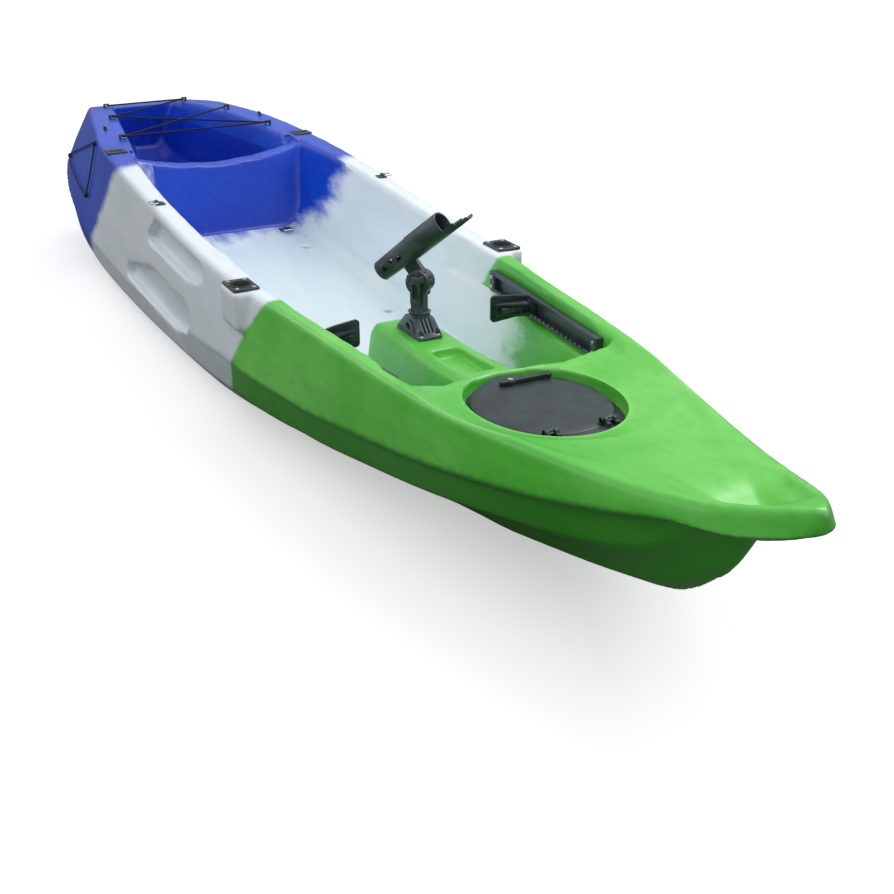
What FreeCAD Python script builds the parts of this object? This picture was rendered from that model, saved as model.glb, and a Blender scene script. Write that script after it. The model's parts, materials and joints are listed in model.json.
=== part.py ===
import FreeCAD, Part
import Sketcher
import math
import os
from FreeCAD import Placement, Rotation, Vector

# Sit-on-top fishing kayak, millimetres.
# +X points to the bow, +Y to port, +Z up.  The origin lies on the keel line at mid length.

os.makedirs("parts", exist_ok=True)
doc = FreeCAD.newDocument("kayak")

# ---------------------------------------------------------------- driving dimensions
DRIVING = [
    ("hull_wall", 5.0, "moulded skin thickness"),
    ("socket_x", 205.0, "rod socket station"),
    ("socket_y", 324.0, "rod socket offset from the centre plane"),
    ("socket_top", 351.0, "top of the socket boss"),
    ("socket_length", 81.0, "socket plate, fore and aft"),
    ("socket_width", 60.0, "socket plate, across"),
    ("socket_plate", 4.0, "socket plate thickness"),
    ("socket_bore", 22.0, "radius of the socket bore"),
    ("socket_sleeve", 2.6, "sleeve wall"),
    ("socket_depth", 84.0, "bore depth below the plate face"),
    ("screw_pitch_x", 60.0, "socket plate screws, fore and aft pitch"),
    ("screw_pitch_y", 38.0, "socket plate screws, pitch across"),
    ("screw_shank", 2.1, "small screw shank radius"),
    ("screw_head", 4.3, "small screw head radius"),
    ("fit_gap", 0.06, "radial gap of fixed round fits"),
    ("lid_half_length", 158.0, "hatch lid half length"),
    ("lid_half_width", 131.0, "hatch lid half width"),
    ("lid_edge", 7.0, "hatch lid edge thickness"),
    ("hatch_x", 925.0, "hatch centre station"),
    ("hatch_seat", 254.0, "height of the hatch ledge"),
    ("rod_x", 415.0, "rod holder station"),
    ("rod_seat", 254.0, "top of the console under the rod holder"),
    ("rod_swing", 36.6, "rest heading of the rod tube, degrees to port"),
    ("rod_lean", 39.7, "rest elevation of the rod tube, degrees"),
    ("rod_base_length", 113.0, "rod mount foot, fore and aft"),
    ("rod_base_width", 58.0, "rod mount foot, across"),
    ("rod_base_height", 45.0, "rod mount collar height"),
    ("post_radius", 15.0, "rod post spigot radius"),
    ("pivot_height", 112.0, "tilt pivot above the console"),
    ("knuckle_radius", 27.0, "tilt knuckle radius"),
    ("tube_offset", 68.0, "tube axis above the tilt pivot"),
    ("tube_radius", 27.0, "rod tube outer radius"),
    ("tube_bore", 23.5, "rod tube bore radius"),
    ("rail_length", 500.0, "foot rail length"),
    ("rail_height", 46.0, "foot rail height"),
    ("rail_depth", 16.0, "foot rail depth off the wall"),
    ("pedal_reach", 104.0, "foot pedal reach inboard of the wall"),
    ("cord_radius", 2.5, "shock cord radius"),
    ("tow_hole", 12.0, "tow hole radius"),
    ("scupper", 12.0, "scupper hole radius"),
]

sheet = doc.addObject("Spreadsheet::Sheet", "dims")
SIZE = {}
for row, (alias, value, note) in enumerate(DRIVING, start=1):
    sheet.set("A%d" % row, alias)
    sheet.set("B%d" % row, str(value))
    sheet.setAlias("B%d" % row, alias)
    sheet.set("C%d" % row, note)
    SIZE[alias] = value
doc.recompute()

WALL = SIZE["hull_wall"]
GAP = SIZE["fit_gap"]
SHANK = SIZE["screw_shank"]
SKY = 520.0        # height above every part of the hull, for cutters open to the top

finished = []      # (object, node name) in the order written


def keep(obj, node):
    """Give an object its node name and list it for export."""
    obj.Label = node
    finished.append((obj, node))
    return obj


def stand(shape, node, placement=Placement()):
    """A node whose shape comes from Part functions."""
    obj = doc.addObject("Part::Feature", node)
    own = shape.Placement
    obj.Shape = shape
    obj.Placement = placement.multiply(own)
    return keep(obj, node)


def solid_of(shape):
    """The one solid inside a boolean result, or the shape itself when it holds several."""
    shape = shape.removeSplitter()
    if len(shape.Solids) == 1:
        return shape.Solids[0]
    return Part.makeCompound(shape.Solids)


def merged(shapes):
    first = shapes[0]
    return solid_of(first.multiFuse(shapes[1:])) if len(shapes) > 1 else first


def box(x0, x1, y0, y1, z0, z1):
    return Part.makeBox(x1 - x0, y1 - y0, z1 - z0, Vector(x0, y0, z0))


def rod(radius, start, end):
    """Round bar between two points."""
    axis = end - start
    return Part.makeCylinder(radius, axis.Length, start, axis)


def mirrored(shape):
    """The same shape on the other side of the centre plane."""
    return shape.mirror(Vector(0, 0, 0), Vector(0, 1, 0))


def prism(points, direction):
    """Solid swept from a flat polygon."""
    wire = Part.makePolygon(points + [points[0]])
    return Part.Face(wire).extrude(direction)


def blend(rows, x):
    """Straight-line value of each column of rows at station x; the first column is the station."""
    if x <= rows[0][0]:
        return rows[0][1:]
    for low, high in zip(rows, rows[1:]):
        if x <= high[0]:
            share = (x - low[0]) / (high[0] - low[0])
            return tuple(a + share * (b - a) for a, b in zip(low[1:], high[1:]))
    return rows[-1][1:]


def section(x, half):
    """Symmetric ring of points at station x from half-section points (y, z), bottom centre first."""
    inner = [(-y, z) for y, z in reversed(half[1:-1])]
    return [Vector(x, y, z) for y, z in half + inner]


def fair_line(points):
    """Smooth lengthwise line through one point per station that never overshoots between stations."""
    if len(points) == 2:
        return Part.makeLine(points[0], points[1])
    stations = [p.x for p in points]
    steps = [(b - a) * (1 / (b.x - a.x)) for a, b in zip(points, points[1:])]
    slopes = [steps[0]]
    for before, after in zip(steps, steps[1:]):
        slopes.append(Vector(1, calm(before.y, after.y), calm(before.z, after.z)))
    slopes.append(steps[-1])
    curve = Part.BSplineCurve()
    curve.interpolate(
        Points=points,
        Parameters=stations,
        Tangents=slopes,
        TangentFlags=[True] * len(points),
        Scale=False,
    )
    return curve.toShape()


def calm(before, after):
    """Slope between two neighbouring slopes, flat where they change sign."""
    if before * after <= 0:
        return 0.0
    return 2 * before * after / (before + after)


def loft(rings):
    """Solid through rings of points: fair lines lengthwise, flat caps at both ends."""
    lines = [fair_line(list(column)) for column in zip(*rings)]
    faces = [Part.makeRuledSurface(a, b) for a, b in zip(lines, lines[1:] + lines[:1])]
    for ring in (rings[0], rings[-1]):
        faces.append(Part.Face(Part.makePolygon(ring + ring[:1])))
    shell = Part.makeShell(faces)
    shell.sewShape()
    solid = Part.makeSolid(shell)
    if solid.Volume < 0:
        solid.reverse()
    return solid


# ---------------------------------------------------------------- hull lines
KEEL_FLAT = 2.0        # depth planed off the keel, which leaves the flat strip the boat rests on

# station, keel height, bilge half breadth and height, lip root half breadth,
# chine half breadth and height, gunwale half breadth and height
LINES = [
    (-1700.0, 70, 195, 95, 245, 256, 222, 168, 401),
    (-1600.0, 42, 232, 68, 276, 283, 204, 190, 413),
    (-1450.0, 18, 268, 42, 306, 312, 174, 222, 427),
    (-1250.0, 5, 292, 24, 328, 333, 140, 261, 430),
    (-1000.0, -KEEL_FLAT, 304, 12, 340, 344, 116, 306, 418),
    (-700.0, -KEEL_FLAT, 305, 7, 345, 349, 106, 326, 403),
    (-400.0, -KEEL_FLAT, 300, 5, 348, 352, 115, 333, 381),
    (-100.0, -KEEL_FLAT, 290, 7, 350, 354, 138, 336, 360),
    (200.0, -KEEL_FLAT, 262, 22, 347, 352, 162, 326, 346),
    (450.0, -KEEL_FLAT, 212, 32, 312, 319, 160, 299, 341),
    (700.0, -KEEL_FLAT, 176, 60, 284, 292, 186, 279, 336),
    (900.0, 4, 140, 84, 256, 268, 210, 256, 331),
    (1050.0, 28, 110, 106, 220, 236, 230, 223, 329),
    (1200.0, 60, 80, 126, 174, 199, 253, 184, 332),
    (1350.0, 104, 54, 164, 116, 156, 284, 144, 339),
]
# the stem below the lip: station, keel height, half breadth at the root
STEM = [(1460.0, 187, 72), (1515.0, 256, 34), (1538.0, 290, 9)]
# the nose of the lip: station, chine half breadth and height, gunwale half breadth and height
NOSE = [
    (1460.0, 122, 304, 112, 351),
    (1530.0, 102, 308, 88, 364),
    (1585.0, 78, 314, 62, 378),
    (1625.0, 50, 326, 35, 388),
    (1648.0, 26, 342, 14, 391),
    (1656.0, 9, 354, 3, 386),
]


def lower_half(keel, bilge_y, bilge_z, root_y, chine_z, skin):
    """Half section below the lip; skin shrinks it inward by a wall thickness."""
    side_y = bilge_y + 0.72 * (root_y - bilge_y)
    side_z = bilge_z + 0.40 * (chine_z - bilge_z)
    slope = 0.7 * skin
    return [
        (0, keel + skin),
        (0.55 * bilge_y, keel + 0.34 * (bilge_z - keel) + skin),
        (bilge_y - slope, bilge_z + slope),
        (side_y - slope, side_z + slope),
        (root_y - skin, chine_z - 4),
        (0.93 * root_y - skin, chine_z + 16 - skin),
        (0, chine_z + 16 - skin),
    ]


def upper_half(chine_y, chine_z, rim_y, rim_z, skin):
    """Half section of the lip and flank up to the gunwale."""
    under = min(12, 0.45 * chine_y)
    crown = min(9, 0.5 * rim_y)
    return [
        (0, chine_z - 6 + skin),
        (chine_y - under - 0.6 * skin, chine_z - 6 + skin),
        (chine_y - skin, chine_z + 5),
        (0.55 * chine_y + 0.45 * rim_y + 2 - skin, 0.55 * chine_z + 0.45 * rim_z),
        (rim_y - skin, rim_z - 10),
        (rim_y - crown - 0.6 * skin, rim_z - skin),
        (0, rim_z - skin),
    ]


def hull_body(skin):
    """Outer form of the hull, or the form of its inner face when skin is a wall thickness."""
    low = []
    high = []
    for i, (x, keel, by, bz, ry, cy, cz, gy, gz) in enumerate(LINES):
        station = x + skin if i == 0 else x
        low.append(section(station, lower_half(keel, by, bz, ry, cz, skin)))
        high.append(section(station, upper_half(cy, cz, gy, gz, skin)))
    for x, keel, ry in STEM:
        chine_z = blend(NOSE, x)[1]
        if ry < 3 * WALL and skin:
            continue
        bilge_z = 0.5 * (keel + chine_z)
        low.append(section(x - skin, lower_half(keel, 0.55 * ry, bilge_z, ry, chine_z, skin)))
    for x, cy, cz, gy, gz in NOSE:
        if cy < 5 * WALL and skin:
            continue
        high.append(section(x, upper_half(cy, cz, gy, gz, skin)))
    body = loft(low).fuse(loft(high))
    return solid_of(body.cut(box(-1300, 1000, -300, 300, -20, 0)))


# ---------------------------------------------------------------- cockpit, decks and wells
# station, floor height, floor half breadth, opening half breadth, foot ledge width
COCKPIT = [
    (-845.0, 176, 204, 252, 0),
    (-700.0, 157, 226, 270, 0),
    (-450.0, 138, 238, 286, 0),
    (-150.0, 118, 240, 290, 0),
    (20.0, 110, 236, 281, 0),
    (90.0, 106, 232, 279, 16),
    (300.0, 100, 222, 277, 16),
    (500.0, 100, 208, 261, 16),
    (810.0, 105, 174, 235, 16),
]
LEDGE_Z = 258.0
LEDGE_WIDTH = 16.0
BACK_SLOPE = 0.25      # lean of the seat back, fore and aft run per unit of height
FRONT_X = 733.0        # station of the cockpit's front wall on the centre plane
FRONT_SWEEP = 0.3      # forward run of the front wall per unit of half breadth
CREST_Z = 362.0


def cockpit_half(x, grow):
    floor_z, floor_y, open_y, ledge = blend(COCKPIT, x)
    rim_z = blend(LINES, x)[7]
    share = (LEDGE_Z - floor_z) / (rim_z - 15 - floor_z)
    upright_share = 0.25 + 0.75 * ledge / LEDGE_WIDTH
    shoulder_y = open_y - 10 + 7 * ledge / LEDGE_WIDTH
    wall_y = floor_y + (shoulder_y - floor_y) * (share + upright_share * (1 - share))
    return [
        (0, floor_z - grow),
        (floor_y - 30 + grow, floor_z - grow),
        (floor_y + grow, floor_z + 20),
        (wall_y - ledge + grow, LEDGE_Z - 3 - grow),
        (wall_y + grow, LEDGE_Z + 3 - grow),
        (shoulder_y + grow, rim_z - 15),
        (open_y + grow, rim_z + 1),
        (open_y + grow, SKY),
        (0, SKY),
    ]


# console between the footwells: station, half breadth at the foot, half breadth and height on top
CONSOLE = [
    (286.0, 84, 58, 232),
    (300.0, 86, 62, 247),
    (330.0, 86, 64, 254),
    (520.0, 88, 66, 254),
    (700.0, 92, 68, 262),
    (790.0, 100, 72, 272),
]


def console_block(shrink):
    cuts = []
    for i, (x, foot_y, top_y, top_z) in enumerate(CONSOLE):
        station = x + shrink if i == 0 else x
        half = [
            (0, 60),
            (foot_y - shrink, 60),
            (top_y - shrink, top_z - 16),
            (top_y - 14 - 0.6 * shrink, top_z - shrink),
            (0, top_z - shrink),
        ]
        cuts.append(section(station, half))
    return loft(cuts)


def cockpit_cut(grow):
    stations = [row[0] for row in COCKPIT]
    stations[0] -= grow
    stations[-1] += grow
    rings = [section(x, cockpit_half(x, grow)) for x in stations]
    rings[0] = [Vector(p.x + BACK_SLOPE * (CREST_Z - p.z), p.y, p.z) for p in rings[0]]
    well = loft(rings).cut(front_wall(grow))
    return well.cut(console_block(grow))


def front_wall(grow):
    """Block ahead of the cockpit, swept forward towards the gunwales."""
    side_y = 340.0
    side_x = FRONT_X + grow + FRONT_SWEEP * side_y
    end_x = 1000.0
    plan = [(FRONT_X + grow, 0), (side_x, side_y), (end_x, side_y), (end_x, -side_y), (side_x, -side_y)]
    return prism([Vector(x, y, 40) for x, y in plan], Vector(0, 0, SKY))


# foredeck dish: station, centre height
FOREDECK = [
    (735.0, 276),
    (800.0, 284),
    (1000.0, 298),
    (1200.0, 314),
    (1380.0, 331),
    (1464.0, 338),
    (1490.0, 333),
    (1545.0, 347),
    (1592.0, 368),
]


def foredeck_cut(grow):
    cuts = []
    for i, (x, centre_z) in enumerate(FOREDECK):
        if x <= LINES[-1][0]:
            rim_y, rim_z = blend(LINES, x)[6:8]
        else:
            rim_y, rim_z = blend(NOSE, x)[2:4]
        edge = rim_y - 20
        station = x - grow if i == 0 else x + (grow if i == len(FOREDECK) - 1 else 0)
        half = [
            (0, centre_z - grow),
            (0.55 * edge, centre_z + 0.10 * (rim_z - centre_z) - grow),
            (0.88 * edge + 0.3 * grow, centre_z + 0.55 * (rim_z - centre_z) - grow),
            (edge + grow, rim_z + 1),
            (edge + grow, SKY),
            (0, SKY),
        ]
        cuts.append(section(station, half))
    return loft(cuts)


# tank well: station, floor height, floor half breadth, opening half breadth
TANK = [
    (-1640.0, 262, 60, 106),
    (-1560.0, 226, 80, 122),
    (-1450.0, 214, 100, 144),
    (-1300.0, 208, 128, 172),
    (-1150.0, 206, 150, 197),
    (-1000.0, 206, 168, 220),
    (-902.0, 214, 180, 238),
]


FLAT_FLOOR = (-1340.0, -960.0, 205.5)    # ends and height of the level part of the tank floor


def tank_cut(grow):
    cuts = []
    for i, (x, floor_z, floor_y, open_y) in enumerate(TANK):
        rim_z = blend(LINES, x)[7]
        station = x
        if i == 0:
            station -= grow
        if i == len(TANK) - 1:
            station += grow
        half = [
            (0, floor_z - grow),
            (floor_y - 26 + grow, floor_z - grow),
            (floor_y + grow, floor_z + 24),
            (0.3 * floor_y + 0.7 * open_y - 6 + grow, 0.3 * floor_z + 0.7 * rim_z),
            (open_y - 8 + grow, rim_z - 14),
            (open_y + grow, rim_z + 1),
            (open_y + grow, SKY),
            (0, SKY),
        ]
        cuts.append(section(station, half))
    flat = box(FLAT_FLOOR[0] - grow, FLAT_FLOOR[1] + grow, -90 - grow, 90 + grow, FLAT_FLOOR[2] - grow, 260)
    return loft(cuts).fuse(flat)


def crest_cut(grow):
    """Saddle in the top of the bulkhead between cockpit and tank well."""
    sag = [(0, CREST_Z), (110, 370), (190, 384), (244 + grow, 397)]
    half = [(y, z - grow) for y, z in sag] + [(246 + grow, SKY), (0, SKY)]
    return loft([section(-930.0, half), section(-840.0, half)])


def oval(half_length, half_width, z0, z1, x=None):
    """Upright oval block centred on the hatch station."""
    centre = Vector(SIZE["hatch_x"] if x is None else x, 0, z0)
    curve = Part.Ellipse(centre, half_length, half_width).toShape()
    return Part.Face(Part.Wire([curve])).extrude(Vector(0, 0, z1 - z0))


HATCH_RING = 14.0       # recess clearance round the lid
HATCH_HOLE_X = 128.0    # half length of the hatch opening
HATCH_HOLE_Y = 101.0


def hatch_recess(grow):
    ring = HATCH_RING + grow
    floor = SIZE["hatch_seat"] - grow
    return oval(SIZE["lid_half_length"] + ring, SIZE["lid_half_width"] + ring, floor, SKY)


def console_tray(grow):
    """Shallow open tray in the console top, with the drain notch that leads to the foredeck."""
    floor = 232.0 - grow
    tray = box(528 - grow, 688 + grow, -34 - grow, 34 + grow, floor, SKY)
    edges = [e for e in tray.Edges if abs(e.tangentAt(e.FirstParameter).z) > 0.99]
    return tray.makeFillet(14, edges)


# outlines of the two flank recesses on the starboard side, as (station, height)
UPPER_RECESS = [(-478, 282), (-396, 350), (-30, 332), (-14, 304), (-40, 284), (-130, 270)]
LOWER_RECESS = [(-690, 132), (-655, 170), (-440, 218), (-130, 210), (-108, 172), (-150, 132), (-260, 108)]
RECESS_DEPTH = 24.0


def flank_recess(outline, grow):
    """Long hollow in the starboard flank with rounded corners."""
    centre_x = sum(p[0] for p in outline) / len(outline)
    centre_z = sum(p[1] for p in outline) / len(outline)
    spread = []
    for x, z in outline:
        reach = math.hypot(x - centre_x, z - centre_z)
        share = (reach + 1.4 * grow) / reach
        spread.append(Vector(centre_x + (x - centre_x) * share, -400, centre_z + (z - centre_z) * share))
    mean_z = centre_z
    gunwale = blend(LINES, centre_x)
    skin_y = gunwale[4] - (gunwale[4] - gunwale[6]) * (mean_z - gunwale[5]) / (gunwale[7] - gunwale[5])
    block = prism(spread, Vector(0, 400 - skin_y + RECESS_DEPTH + grow, 0))
    upright = [e for e in block.Edges if abs(e.tangentAt(e.FirstParameter).y) > 0.99]
    return block.makeFillet(16, upright)


def socket_boss():
    """Raised pad on the starboard gunwale that carries the socket plate."""
    x = SIZE["socket_x"]
    y = SIZE["socket_y"]
    long = SIZE["socket_length"] / 2 + 5
    wide = SIZE["socket_width"] / 2 + 4
    top = SIZE["socket_top"] - SIZE["socket_plate"]
    block = box(x - long, x + long, -y - wide, -y + wide, 262, top)
    upright = [e for e in block.Edges if abs(e.tangentAt(e.FirstParameter).z) > 0.99]
    return block.makeFillet(9, upright)


TOW_X = 1568.0
SCUPPERS = [(-110.0, 176.0), (-640.0, 168.0)]


def through_holes(grow):
    holes = [Part.makeCylinder(SIZE["tow_hole"] + grow, SKY, Vector(TOW_X, 0, 0))]
    for x, y in SCUPPERS:
        for side in (-1, 1):
            holes.append(Part.makeCylinder(SIZE["scupper"] + grow, 240, Vector(x, side * y, -20)))
    return holes


def both_sides(shape):
    return [shape, mirrored(shape)]


def hull_cutters(grow):
    """Every hollow of the outer form; grow thickens them into the skin seen from inside."""
    cutters = [cockpit_cut(grow), foredeck_cut(grow), tank_cut(grow), crest_cut(grow)]
    cutters += [hatch_recess(grow), console_tray(grow)]
    for outline in (UPPER_RECESS, LOWER_RECESS):
        cutters += both_sides(flank_recess(outline, grow))
    return cutters + through_holes(grow)


def moulded_hull():
    outer = hull_body(0)
    for boss in both_sides(socket_boss()):
        outer = outer.fuse(boss)
    for cutter in hull_cutters(0):
        outer = outer.cut(cutter)
    return solid_of(outer)


def hull_void():
    inner = hull_body(WALL)
    for cutter in hull_cutters(WALL):
        inner = inner.cut(cutter)
    return inner



# ---------------------------------------------------------------- shapes shared by the fittings
class Piece:
    """A sketch-based body whose sketches lie on planes parallel to its own origin planes."""

    def __init__(self, name):
        self.name = name
        self.body = doc.addObject("PartDesign::Body", name)
        self.planes = {f.Role: f for f in self.body.Origin.OriginFeatures}
        self.count = 0

    def sketch(self, plane, height):
        self.count += 1
        flat = self.body.newObject("Sketcher::SketchObject", "%s_sketch%d" % (self.name, self.count))
        flat.AttachmentSupport = (self.planes[plane], [""])
        flat.MapMode = "FlatFace"
        flat.setExpression("AttachmentOffset.Base.z", height)
        return flat

    def circles(self, radius, centres=((0, 0),), plane="XY_Plane", height="0"):
        """Equal circles sized by one expression."""
        flat = self.sketch(plane, height)
        for i, (x, y) in enumerate(centres):
            flat.addGeometry(Part.Circle(Vector(x, y, 0), Vector(0, 0, 1), 5), False)
            index = flat.addConstraint(Sketcher.Constraint("Radius", i, 5))
            flat.renameConstraint(index, "radius%d" % i)
            flat.setExpression("Constraints.radius%d" % i, radius)
        return flat

    def polygon(self, points, plane="XY_Plane", height="0"):
        flat = self.sketch(plane, height)
        count = len(points)
        for start, end in zip(points, points[1:] + points[:1]):
            flat.addGeometry(Part.LineSegment(Vector(*start, 0), Vector(*end, 0)), False)
        for i in range(count):
            flat.addConstraint(Sketcher.Constraint("Coincident", i, 2, (i + 1) % count, 1))
        return flat

    def rectangle(self, wide, tall, plane="XY_Plane", height="0"):
        """Rectangle centred on the origin, its sides sized by expressions."""
        flat = self.polygon([(-10, -10), (10, -10), (10, 10), (-10, 10)], plane, height)
        for line, kind in enumerate(("Horizontal", "Vertical", "Horizontal", "Vertical")):
            flat.addConstraint(Sketcher.Constraint(kind, line))
        flat.addConstraint(Sketcher.Constraint("Symmetric", 0, 1, 2, 1, -1, 1))
        across = flat.addConstraint(Sketcher.Constraint("DistanceX", 0, 1, 0, 2, 20))
        flat.renameConstraint(across, "wide")
        flat.setExpression("Constraints.wide", wide)
        up = flat.addConstraint(Sketcher.Constraint("DistanceY", 1, 1, 1, 2, 20))
        flat.renameConstraint(up, "tall")
        flat.setExpression("Constraints.tall", tall)
        return flat

    def pad(self, flat, length, back=False):
        return self.feature("Pad", flat, length, back)

    def pocket(self, flat, length, back=False):
        """Cut along the sketch normal reversed, or along the normal when back is set."""
        before = self.body.Shape.Volume
        cut = self.feature("Pocket", flat, length, back)
        if self.body.Shape.Volume > before - 1e-3:
            raise ValueError("pocket misses the solid in " + self.name)
        return cut

    def feature(self, kind, flat, length, back):
        self.count += 1
        made = self.body.newObject("PartDesign::" + kind, "%s_%s%d" % (self.name, kind.lower(), self.count))
        made.Profile = flat
        made.Reversed = back
        made.setExpression("Length", length)
        doc.recompute()
        return made

    def fillet(self, radius, pick):
        """Round the edges of the body that pick accepts."""
        tip = self.body.Tip
        names = ["Edge%d" % (i + 1) for i, edge in enumerate(tip.Shape.Edges) if pick(edge)]
        self.count += 1
        made = self.body.newObject("PartDesign::Fillet", "%s_round%d" % (self.name, self.count))
        made.Base = (tip, names)
        made.Radius = radius
        doc.recompute()
        return made

    def done(self, placement=Placement()):
        doc.recompute()
        self.body.Placement = placement
        return keep(self.body, self.name)


def upright(edge):
    """True for a straight edge along Z."""
    return edge.Curve.TypeId == "Part::GeomLine" and abs(edge.tangentAt(edge.FirstParameter).z) > 0.99


def primitive(kind, name, node=None, placement=Placement(), **sizes):
    """Part primitive whose sizes follow the dimension sheet; listed as a node when one is named."""
    obj = doc.addObject(kind, name)
    for prop, text in sizes.items():
        obj.setExpression(prop, text)
    obj.Placement = placement
    return keep(obj, node) if node else obj


def screw(length, scale=1.0):
    """Pan-head screw with a cross recess, axis along Z, underside of the head at z = 0."""
    head = SIZE["screw_head"] * scale
    high = 2.2 * scale
    body = Part.makeCylinder(SHANK * scale, length, Vector(0, 0, -length))
    cap = Part.makeCylinder(head, high)
    rim = [e for e in cap.Edges if e.BoundBox.ZMin > high - 0.01]
    cap = cap.makeFillet(0.6 * high, rim)
    slot = box(-0.6 * head, 0.6 * head, -0.5, 0.5, 0.5 * high, high + 1)
    cross = slot.fuse(slot.rotated(Vector(), Vector(0, 0, 1), 90))
    return body.fuse(cap).cut(cross).removeSplitter()


def soft_box(x0, x1, y0, y1, z0, z1, radius):
    """Box with its upright edges rounded."""
    block = box(x0, x1, y0, y1, z0, z1)
    return block.makeFillet(radius, [e for e in block.Edges if upright(e)])


def cord(points, radius):
    """Round cord along straight runs, with balls at the bends so it stays one solid."""
    pieces = [rod(radius, start, end) for start, end in zip(points, points[1:])]
    pieces += [Part.makeSphere(radius * 1.002, point) for point in points[1:-1]]
    return merged(pieces)


def hose(points, radius):
    """Round cord along a gently bending path, ruled between hoops set square to it."""
    ahead = [(b - a).normalize() for a, b in zip(points, points[1:])]
    hoops = []
    aside = ahead[0].cross(Vector(0, 1, 0)).normalize()
    for i, point in enumerate(points):
        along = ahead[max(i - 1, 0)] + ahead[min(i, len(ahead) - 1)]
        along = along.normalize()
        aside = (aside - along * aside.dot(along)).normalize()
        hoop = Part.Wire([Part.makeCircle(radius)])
        hoop.Placement = Placement(point, Rotation(aside, along.cross(aside), along, "ZXY"))
        hoops.append(hoop)
    return Part.makeLoft(hoops, True, True)


def place(x, y, z, turn=0.0):
    return Placement(Vector(x, y, z), Rotation(Vector(0, 0, 1), turn))


def moved(shape, placement):
    copy = shape.copy()
    copy.Placement = placement.multiply(copy.Placement)
    return copy


def pair(shape, stem):
    """A starboard piece and its port mirror image as two nodes."""
    stand(shape, stem + "_stbd")
    stand(mirrored(shape), stem + "_port")


def group(shapes, node):
    """Identical loose pieces kept together in one node."""
    return stand(Part.makeCompound(shapes), node)


outer_form = moulded_hull()
seat_cuts = []          # hollows the fittings need in the hull


def seat(shape, both=True):
    seat_cuts.extend(both_sides(shape) if both else [shape])


def deck_height(x, y):
    """Height of the hull surface met from above at (x, y)."""
    probe = Part.makeLine(Vector(x, y, 60), Vector(x, y, SKY))
    return max(v.Z for v in outer_form.section(probe).Vertexes)


def flank_breadth(x, z):
    """Half breadth of the outside of the hull at station x and height z."""
    probe = Part.makeLine(Vector(x, -600, z), Vector(x, 0, z))
    return max(-v.Y for v in outer_form.section(probe).Vertexes)


# ---------------------------------------------------------------- rod sockets in the gunwales
def socket_plate(node, side):
    piece = Piece(node)
    piece.pad(piece.rectangle("dims.socket_length", "dims.socket_width"), "dims.socket_plate")
    piece.fillet(6.0, upright)
    piece.pad(piece.circles("dims.socket_bore + 4", height="dims.socket_plate"), "1.6")
    piece.pad(piece.circles("dims.socket_bore + dims.socket_sleeve"), "dims.socket_depth - 1", back=True)
    bore = piece.circles("dims.socket_bore", height="dims.socket_plate + 1.6")
    piece.pocket(bore, "dims.socket_depth + 1.6")
    spots = [
        (sx * SIZE["screw_pitch_x"] / 2, sy * SIZE["screw_pitch_y"] / 2) for sx in (-1, 1) for sy in (-1, 1)
    ]
    holes = piece.circles("dims.screw_shank + dims.fit_gap", spots, height="dims.socket_plate")
    piece.pocket(holes, "dims.socket_plate")
    top = SIZE["socket_top"] - SIZE["socket_plate"]
    piece.done(place(SIZE["socket_x"], side * SIZE["socket_y"], top))


def rod_sockets():
    x = SIZE["socket_x"]
    y = SIZE["socket_y"]
    top = SIZE["socket_top"]
    screws = []
    for side, hand in ((-1, "stbd"), (1, "port")):
        socket_plate("socket_plate_" + hand, side)
        for sx in (-1, 1):
            for sy in (-1, 1):
                spot = place(x + sx * SIZE["screw_pitch_x"] / 2, side * y + sy * SIZE["screw_pitch_y"] / 2, top)
                screws.append(moved(screw(9.5), spot))
    group(screws, "socket_screws")
    sleeve = SIZE["socket_bore"] + SIZE["socket_sleeve"] + 0.4
    seat(Part.makeCylinder(sleeve, SIZE["socket_depth"] + 4, Vector(x, -y, top - SIZE["socket_depth"] - 4)))
    for sx in (-1, 1):
        for sy in (-1, 1):
            spot = place(x + sx * SIZE["screw_pitch_x"] / 2, -y + sy * SIZE["screw_pitch_y"] / 2, top - 10, 37)
            seat(moved(Part.makeCylinder(SHANK + GAP, 12), spot))
    long = SIZE["socket_length"] / 2 + 0.5
    wide = SIZE["socket_width"] / 2 + 0.5
    seat(box(x - long, x + long, -y - wide, -y + wide, top - SIZE["socket_plate"], SKY))


# ---------------------------------------------------------------- gunwale fittings
SLOT_PLATE = (-926.0, 281.0, 50.0, 56.0)     # station, offset, length, width
RING_PAD = (-425.0, 309.0)
EYE_STRAP = (-1175.0, 244.0)
HOOKS = [(-1591.0, 128.0), (-1316.0, 182.0), (-1055.0, 223.0)]


def slot_plates():
    """Flush plates with a web slot, one on each gunwale."""
    x, y, long, wide = SLOT_PLATE
    level = deck_height(x, -y) - 2.0
    for side, hand in ((-1, "stbd"), (1, "port")):
        piece = Piece("slot_plate_" + hand)
        piece.pad(piece.rectangle(str(long), str(wide)), "3.5")
        piece.fillet(5.0, upright)
        piece.pocket(piece.rectangle("14", "36", height="3.5"), "2.5")
        piece.done(place(x, side * y, level))
    seat(box(x - long / 2, x + long / 2, -y - wide / 2, -y + wide / 2, level, SKY))


def ring_pads():
    """Folded pads that hold the hinged rings on the gunwales."""
    x, y = RING_PAD
    level = deck_height(x, -y) - 1.5
    seat(box(x - 17, x + 17, -y - 13, -y + 13, level, SKY))
    base = soft_box(-16, 16, -12, 12, 0, 2.4, 4)
    barrel = rod(4.6, Vector(-9, -6, 5.2), Vector(9, -6, 5.2))
    web = box(-9, 9, -8, -1, 2, 6)
    bore = rod(2.08, Vector(-12, -6, 5.4), Vector(12, -6, 5.4))
    spot = place(x, -y, level)
    pad = merged([base, barrel, web]).cut(bore)
    pair(moved(solid_of(pad), spot), "ring_pad")
    pair(moved(hinged_ring(2.0, 14.5, 19), place(x, -y - 6, level + 5.4)), "tie_ring")


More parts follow.
